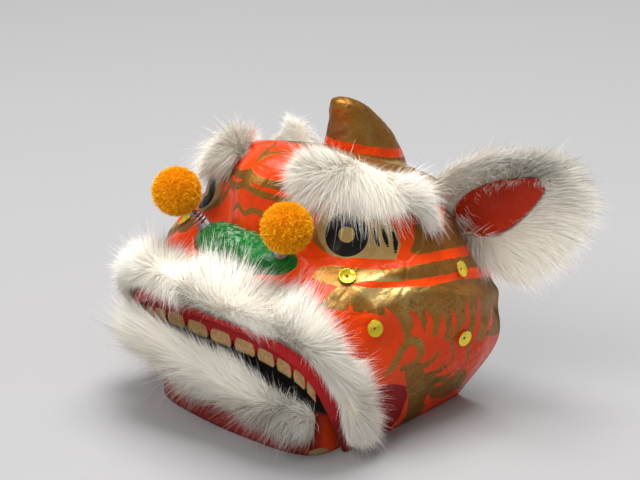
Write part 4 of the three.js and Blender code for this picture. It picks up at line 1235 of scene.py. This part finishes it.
def with_bore(piece):
    """The piece with the hinge rod's bore cut through both of its arms."""
    angle = ring_angles(BORE["sides"])
    y = HINGE_Y + BORE["radius"] * np.cos(angle)
    z = BORE["height"] + BORE["radius"] * np.sin(angle)
    ends = (-BORE["half length"], BORE["half length"])
    points, faces = lofted(np.array([np.stack([x + 0 * angle, y, z], -1) for x in ends]))
    mesh = bpy.data.meshes.new("bore")
    mesh.from_pydata(((points + MAKER_TO_FRAME) / 1000).tolist(), [], faces.tolist())
    cutter = bpy.data.objects.new("bore", mesh)
    bpy.context.scene.collection.objects.link(cutter)
    cut = piece.modifiers.new("bore", "BOOLEAN")
    cut.operation = "DIFFERENCE"
    cut.solver = "FAST"
    cut.object = cutter
    bored = bpy.data.meshes.new_from_object(piece.evaluated_get(bpy.context.evaluated_depsgraph_get()))
    piece.modifiers.clear()
    piece.data = bored
    bpy.data.objects.remove(cutter)


def lower_jaw():
    places, levels = np.linspace(-JAW_ENDS, JAW_ENDS, 161), np.linspace(0, 1, 15)
    place, level = all_pairs(places, levels)
    grid = (len(places), len(levels), 3)
    points, faces, inside = walled(*(jaw_at(place, level, inward).reshape(grid) for inward in (0, WALL)))
    rim = jaw_at(places, 0, WALL / 2)
    middle = rim * (0, 1, 0)
    shares = np.linspace(0, 1, 24)[None, :, None]
    under = rim[:, None] * (1 - shares) + middle[:, None] * shares
    plate, plate_faces, _ = walled(under, under + (0, 0, WALL))
    both = np.abs(np.concatenate([place, place, np.zeros(len(plate))]))
    height = np.concatenate([level, level, np.zeros(len(plate))]) * 30
    piece = new_piece(
        "painted_jaw",
        np.concatenate([points, plate]),
        np.concatenate([faces, plate_faces + len(points)]),
        [jaw_paint(), MOUTH], "lower_jaw", "painted_jaw", "jaw",
        # the jaw's inside and its floor take the black painted shade
        finish_of_face=np.concatenate([inside, np.ones(len(plate_faces))]),
        bright=smoothstep(both, 2.9, 3.5) * 0.85,
        torn_edge=np.hypot((both - TORN["place"]) * TORN["scale"], height) - TORN["reach"],
    )
    with_bore(piece)


# Feelers: pompom, spring and stiff wire
FEELER_FOOT = np.array([24, 1.5, 92.5])
FEELER_TOP = np.array([37, -7, 112])
FEELER_REACH = np.linalg.norm(FEELER_TOP - FEELER_FOOT)
POMPOM = {"radius": 12.2, "core": 10.5, "rooted": 10.0, "strands": 9000, "hair": 2.5}
STEM_STOP = 11.4  # from the pompom's middle
WIRE_THICK = 0.45
STEM_THICK = 0.5
TAPE_PROFILE = [(4.0, -9), (4.0, -2), (4.05, 0.3), (3.95, 1.1), (3.6, 1.5), (2.0, 1.6)]  # radius, height
BASE_HEIGHT = 1.6
SEAT = 0.35
COIL = {"turns": 7, "close turns": 3, "close pitch": 1.15, "open pitch": 2.4, "wide": 3.3, "taper": 1.0}


def along_feeler(points, side):
    """Points given about the feeler's foot, with z along it, put in place."""
    aim = unit((FEELER_TOP - FEELER_FOOT) * (side, 1, 1))
    turn = Vector((0, 0, 1)).rotation_difference(Vector(aim)).to_matrix()
    return points @ np.array(turn).T + FEELER_FOOT * (side, 1, 1)


def round_tube(line, thickness, sides=12):
    """A closed round wire along a line of points."""
    tangents = unit(np.gradient(line, axis=0))
    first = unit(np.cross(tangents, np.array([0.02, 0.05, 1.0])))
    second = np.cross(tangents, first)
    angle = ring_angles(sides)[None, :, None]
    round_the_line = first[:, None] * np.cos(angle) + second[:, None] * np.sin(angle)
    return lofted(line[:, None] + thickness * round_the_line)


def spring(hand, side):
    turn = np.linspace(0, COIL["turns"], COIL["turns"] * 26 + 1)
    open_turns = np.maximum(turn - COIL["close turns"], 0)
    radius = COIL["wide"] - COIL["taper"] * smoothstep(open_turns, 0.5, 4)
    height = np.minimum(turn, COIL["close turns"]) * COIL["close pitch"] + open_turns * COIL["open pitch"]
    room = FEELER_REACH - POMPOM["radius"] - BASE_HEIGHT - SEAT - 2 * WIRE_THICK
    height = height * room / height[-1] + BASE_HEIGHT + SEAT + WIRE_THICK
    helix = np.stack([radius * np.cos(2 * np.pi * turn), radius * np.sin(2 * np.pi * turn), height], -1)
    points, faces = round_tube(helix, WIRE_THICK)
    new_piece("coil_" + hand, along_feeler(points, side), faces, [STEEL], "spring_" + hand, "spring_wire")


def stem(hand, side):
    rise = np.linspace(BASE_HEIGHT + SEAT, FEELER_REACH - STEM_STOP - SEAT, 30)
    sway = 0.12 * np.sin(rise * 0.9)
    points, faces = round_tube(np.stack([sway, -sway, rise], -1), STEM_THICK)
    points = along_feeler(points, side)
    new_piece("straight_wire_" + hand, points, faces, [DARK_WIRE], "stem_" + hand, "black_tape")


def spring_base(hand, side):
    radius, height = catmull_rom(TAPE_PROFILE, np.linspace(0, len(TAPE_PROFILE) - 1, 40)).T
    angle = ring_angles(48)
    wound = radius[:, None] + 0.12 * np.sin(5 * angle + 2.2 * height[:, None])
    points, faces = lofted(round_rings(wound, height, angle))
    points = HEAD_SURFACE.seated(along_feeler(points, side))
    new_piece("tape_" + hand, points, faces, [DARK_WIRE], "spring_base_" + hand, "black_tape")


def ball_directions(count):
    """Directions spread evenly over a ball."""
    turn = np.arange(count) * math.pi * (3 - math.sqrt(5))
    height = 1 - 2 * (np.arange(count) + 0.5) / count
    level = np.sqrt(1 - height**2)
    return np.stack([level * np.cos(turn), level * np.sin(turn), height], -1)


def pompom(hand, side):
    rng = np.random.default_rng(20 + side)
    polar = np.linspace(0, math.pi, 22)[1:-1]
    core, core_faces = lofted(round_rings(np.sin(polar), np.cos(polar), ring_angles(40)) * POMPOM["core"])
    directions = ball_directions(POMPOM["strands"])
    directions = unit(directions + 0.02 * rng.normal(size=directions.shape))
    lean = 0.3 * rng.normal(size=directions.shape)
    lengths = POMPOM["hair"] * rng.uniform(0.86, 1.08, len(directions))
    roots = directions * POMPOM["rooted"]
    points, faces, along, tone, _ = grow_strands(rng, roots, directions, lean, lengths, directions, **YARN)
    new_piece(
        "wool_ball_" + hand,
        along_feeler(np.concatenate([core, points]) + (0, 0, FEELER_REACH), side),
        np.concatenate([core_faces, faces + len(core)]),
        [WOOL], "pompom_" + hand, "yellow_wool",
        along=np.concatenate([np.full(len(core), 0.45), along]),
        tone=np.concatenate([np.zeros(len(core)), tone]),
    )


# Sequins, each at a rib and a column
SEQUINS = {"snout": (3.1, 2.42), "temple": (6.3, 2.74), "cheek_front": (2.6, 3.3), "cheek_back": (5.7, 3.86)}
SEQUIN_PROFILE = [  # radius, height, round the section of the cup
    (0.7, 0.08), (0.8, 0.0), (1.6, 0.03), (2.6, 0.2), (3.4, 0.46), (3.85, 0.66), (4.0, 0.74), (4.0, 0.84),
    (3.8, 0.86), (3.3, 0.66), (2.5, 0.42), (1.6, 0.24), (0.8, 0.2), (0.7, 0.14),
]
SEQUIN_LIFT = 0.5


def sequin(spot, hand, side):
    rib, column = (np.array(value) for value in (SEQUINS[spot][0], side * SEQUINS[spot][1]))
    turn = Vector((0, 0, 1)).rotation_difference(Vector(normal_at(rib, column))).to_matrix()
    radius, height = np.array(SEQUIN_PROFILE).T
    angle = ring_angles(72)
    flutes = 0.02 * np.cos(12 * angle) * smoothstep(radius, 1.2, 3.0)[:, None]
    rings = round_rings(radius, height[:, None] + flutes, angle)
    rings = np.concatenate([rings, rings[:1]])
    points = rings.reshape(-1, 3)
    faces = turned_out(points, grid_faces(len(rings), len(angle), wrap=True))
    points = points @ np.array(turn).T + head_at(rib, column, SEQUIN_LIFT)
    name = f"{spot}_{hand}"
    new_piece("sequin_disc_" + name, points, faces, [SEQUIN_FILM], "sequin_" + name, "sequin")


# Ears
EARS = {  # side, root, lift and pitch in degrees
    "left": (1, (58, 100, 93), 32, 0),
    "right": (-1, (57, 98, 85), 10, 40),
}
EAR_YAW = 22
PILE_ABOVE = {"left": (1.0, 1.0), "right": (1.2, 0.5)}  # length of the upper pile by root and tip, as a share
EAR_LEAN = {"left": (0, 0, 0), "right": (0.5, 0.3, -0.8)}  # how the pile sags
EAR_CUP = 0.016
EAR_GAP = 1.1
LEAF = {"root": -6, "length": 50, "half width": 12.5}
LEAF_TIP = LEAF["root"] + LEAF["length"]
EAR_PAD = [  # along, low, high, thick
    (-8, -8, 24, 6), (2, -26, 30, 9), (16, -34, 32, 10), (30, -34, 27, 10), (43, -26, 19, 9), (52, -12, 9, 6),
]
CORE_LONG, CORE_WIDE, CORE_THICK = 0.96, 0.86, 0.6  # the core's share of the pad
EAR_STRANDS = 28000
EAR_HAIR = 12


def on_ear(points, hand):
    side, root, lift, pitch = EARS[hand]
    place = Matrix.Diagonal((side, 1, 1, 1)) @ Matrix.Translation(root)
    for degrees, axis in ((-pitch, "X"), (EAR_YAW, "Z"), (90, "X"), (lift, "Z")):
        place = place @ Matrix.Rotation(math.radians(degrees), 4, axis)
    place = np.array(place)
    return points @ place[:3, :3].T + place[:3, 3]


def turned_with_ear(directions, hand):
    return on_ear(directions, hand) - on_ear(np.zeros(3), hand)


def leaf_half_width(along):
    share = np.clip((along - LEAF["root"]) / LEAF["length"], 0, 1)
    return LEAF["half width"] * np.sin(math.pi * (0.06 + 0.9 * share**0.8)) ** 0.7


def ear_leaf(hand):
    along = np.linspace(LEAF["root"], LEAF_TIP, 50)[:, None]
    across = leaf_half_width(along) * np.linspace(-1, 1, 33)
    buckle = 0.5 * np.sin(along * 0.21 + across * 0.13) + 0.3 * np.sin(across * 0.5 - along * 0.1)
    front = np.stack([along + 0 * across, across, EAR_CUP * across**2 + EAR_GAP + CARD + buckle * 0.5], -1)
    points, faces, _ = walled(front, front - (0, 0, CARD))
    points = HEAD_SURFACE.seated(on_ear(points, hand), -0.3)
    new_piece("ear_card_" + hand, points, faces, [EAR_PAINT], "ear_leaf_" + hand, "ear_card")


def on_pad(level, share):
    """A place of the ear's pad: along and across it, and how thick the pad is there."""
    along, low, high, thick = np.moveaxis(catmull_rom(EAR_PAD, level), -1, 0)
    return along, (low + (high - low) * share) * CORE_WIDE, thick


def ear_core():
    share = np.linspace(0, 1, 25)
    along, across, thick = on_pad(np.linspace(0, len(EAR_PAD) - 1, 40)[:, None], share)
    front = np.stack([along * CORE_LONG + 0 * across, across, EAR_CUP * across**2 - 0.6], -1)
    back = front - (CORE_THICK * thick * np.sin(math.pi * share))[..., None] * (0, 0, 1)
    return lofted(np.concatenate([front, back[:, -2:0:-1]], axis=1))


def ear_strands(hand):
    """Strands over both faces of an ear's pad, leaving room for its leaf, which some beside it lie over."""
    side = EARS[hand][0]
    rng = np.random.default_rng(30 + side)
    level = rng.uniform(0.0, len(EAR_PAD) - 1.05, EAR_STRANDS)
    share = rng.uniform(0, 1, EAR_STRANDS)
    along, across, thick = on_pad(level, share)
    front = rng.uniform(0, 1, EAR_STRANDS) < 0.6
    facing = np.where(front, 1.0, -1.0)
    under_leaf = front & (np.abs(across) < 0.95 * leaf_half_width(along)) & (along < LEAF_TIP - 1)
    depth = np.where(front, 0.3, -CORE_THICK * thick * np.sin(math.pi * share) - 0.2)
    roots = np.stack([along * CORE_LONG, across, EAR_CUP * across**2 + depth], -1)
    slope = 2 * EAR_CUP * across
    outward = unit(np.stack([along - 12, 1.1 * across, slope * 1.1 * across], -1))
    beside_leaf = (np.abs(across) < 1.3 * leaf_half_width(along)) & front
    beside_leaf = beside_leaf & (rng.uniform(0, 1, EAR_STRANDS) < 0.4)
    outward = outward * np.where(beside_leaf, -0.5, 1.0)[:, None]
    edge = np.clip(np.abs(2 * share - 1) ** 1.5 + smoothstep(along, 30, 52), 0, 1)[:, None]
    in_ear = turned_with_ear(np.eye(3), hand).T
    over_pad = unit(np.stack([0 * slope, -slope, 1 + 0 * slope], -1))
    swell = unit(0.7 * edge * outward + facing[:, None] * over_pad)
    swell = unit(swell + np.array([0.0, 0.0, 0.25]) @ in_ear)
    combs = 0.6 * outward + (0.5, -0.4 - 0.25 * side, 0.0) + 0.4 * swirl(roots, wavelength=30, seed=42)
    combs[:, 2] += slope * combs[:, 1]
    combs = combs + np.array(EAR_LEAN[hand]) @ in_ear
    stray = 0.16 * rng.normal(size=(EAR_STRANDS, 3))
    directions = unit(outward * (0.55 + 0.5 * edge) + swell * 0.5 + 0.4 * combs + stray)
    lengths = EAR_HAIR * uneven(rng, EAR_STRANDS, 0.45, 0.75) * (0.85 + 0.25 * edge[:, 0])
    by_root, by_tip = PILE_ABOVE[hand]
    lengths = lengths * np.where(across > 0, by_root + (by_tip - by_root) * smoothstep(along, 12, 40), 1.0)
    lengths = lengths * np.where(beside_leaf, 0.5 + 0.9 * smoothstep(along, 10, -2), 1.0)
    kept = (values[~under_leaf] for values in (roots, directions, combs, lengths, swell))
    return grow_strands(rng, *kept, **HAIR)


def ear_fur(hand):
    core, core_faces = ear_core()
    points, faces, along, tone, normals = ear_strands(hand)
    seated = HEAD_SURFACE.seated(on_ear(np.concatenate([core, points]), hand), 0.0)
    if EARS[hand][0] < 0:
        core_faces, faces = core_faces[:, ::-1], faces[:, ::-1]
    strands = (seated[len(core):], faces, along, tone, turned_with_ear(normals, hand))
    fur_piece("ear_pile_" + hand, "ear_fur_" + hand, (seated[: len(core)], core_faces), strands)


def studio_floor():
    mesh = bpy.data.meshes.new("floor")
    mesh.from_pydata([(x * FLOOR_HALF, y * FLOOR_HALF, 0) for x, y in SQUARE], [], [(0, 1, 2, 3)])
    mesh.materials.append(floor_finish())
    floor = bpy.data.objects.new("floor", mesh)
    bpy.context.scene.collection.objects.link(floor)


head_shell()
nose()
horn()
teeth()
lower_jaw()
lip_fur()
jaw_fur()
for hand, side in (("left", 1), ("right", -1)):
    brow_fur(hand, side)
    spring(hand, side)
    stem(hand, side)
    spring_base(hand, side)
    pompom(hand, side)
    ear_leaf(hand)
    ear_fur(hand)
    for spot in SEQUINS:
        sequin(spot, hand, side)
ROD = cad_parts["jaw_rod"].data
ROD.materials.clear()
ROD.materials.append(bamboo())
ROD.polygons.foreach_set("use_smooth", np.ones(len(ROD.polygons), bool))
studio_floor()
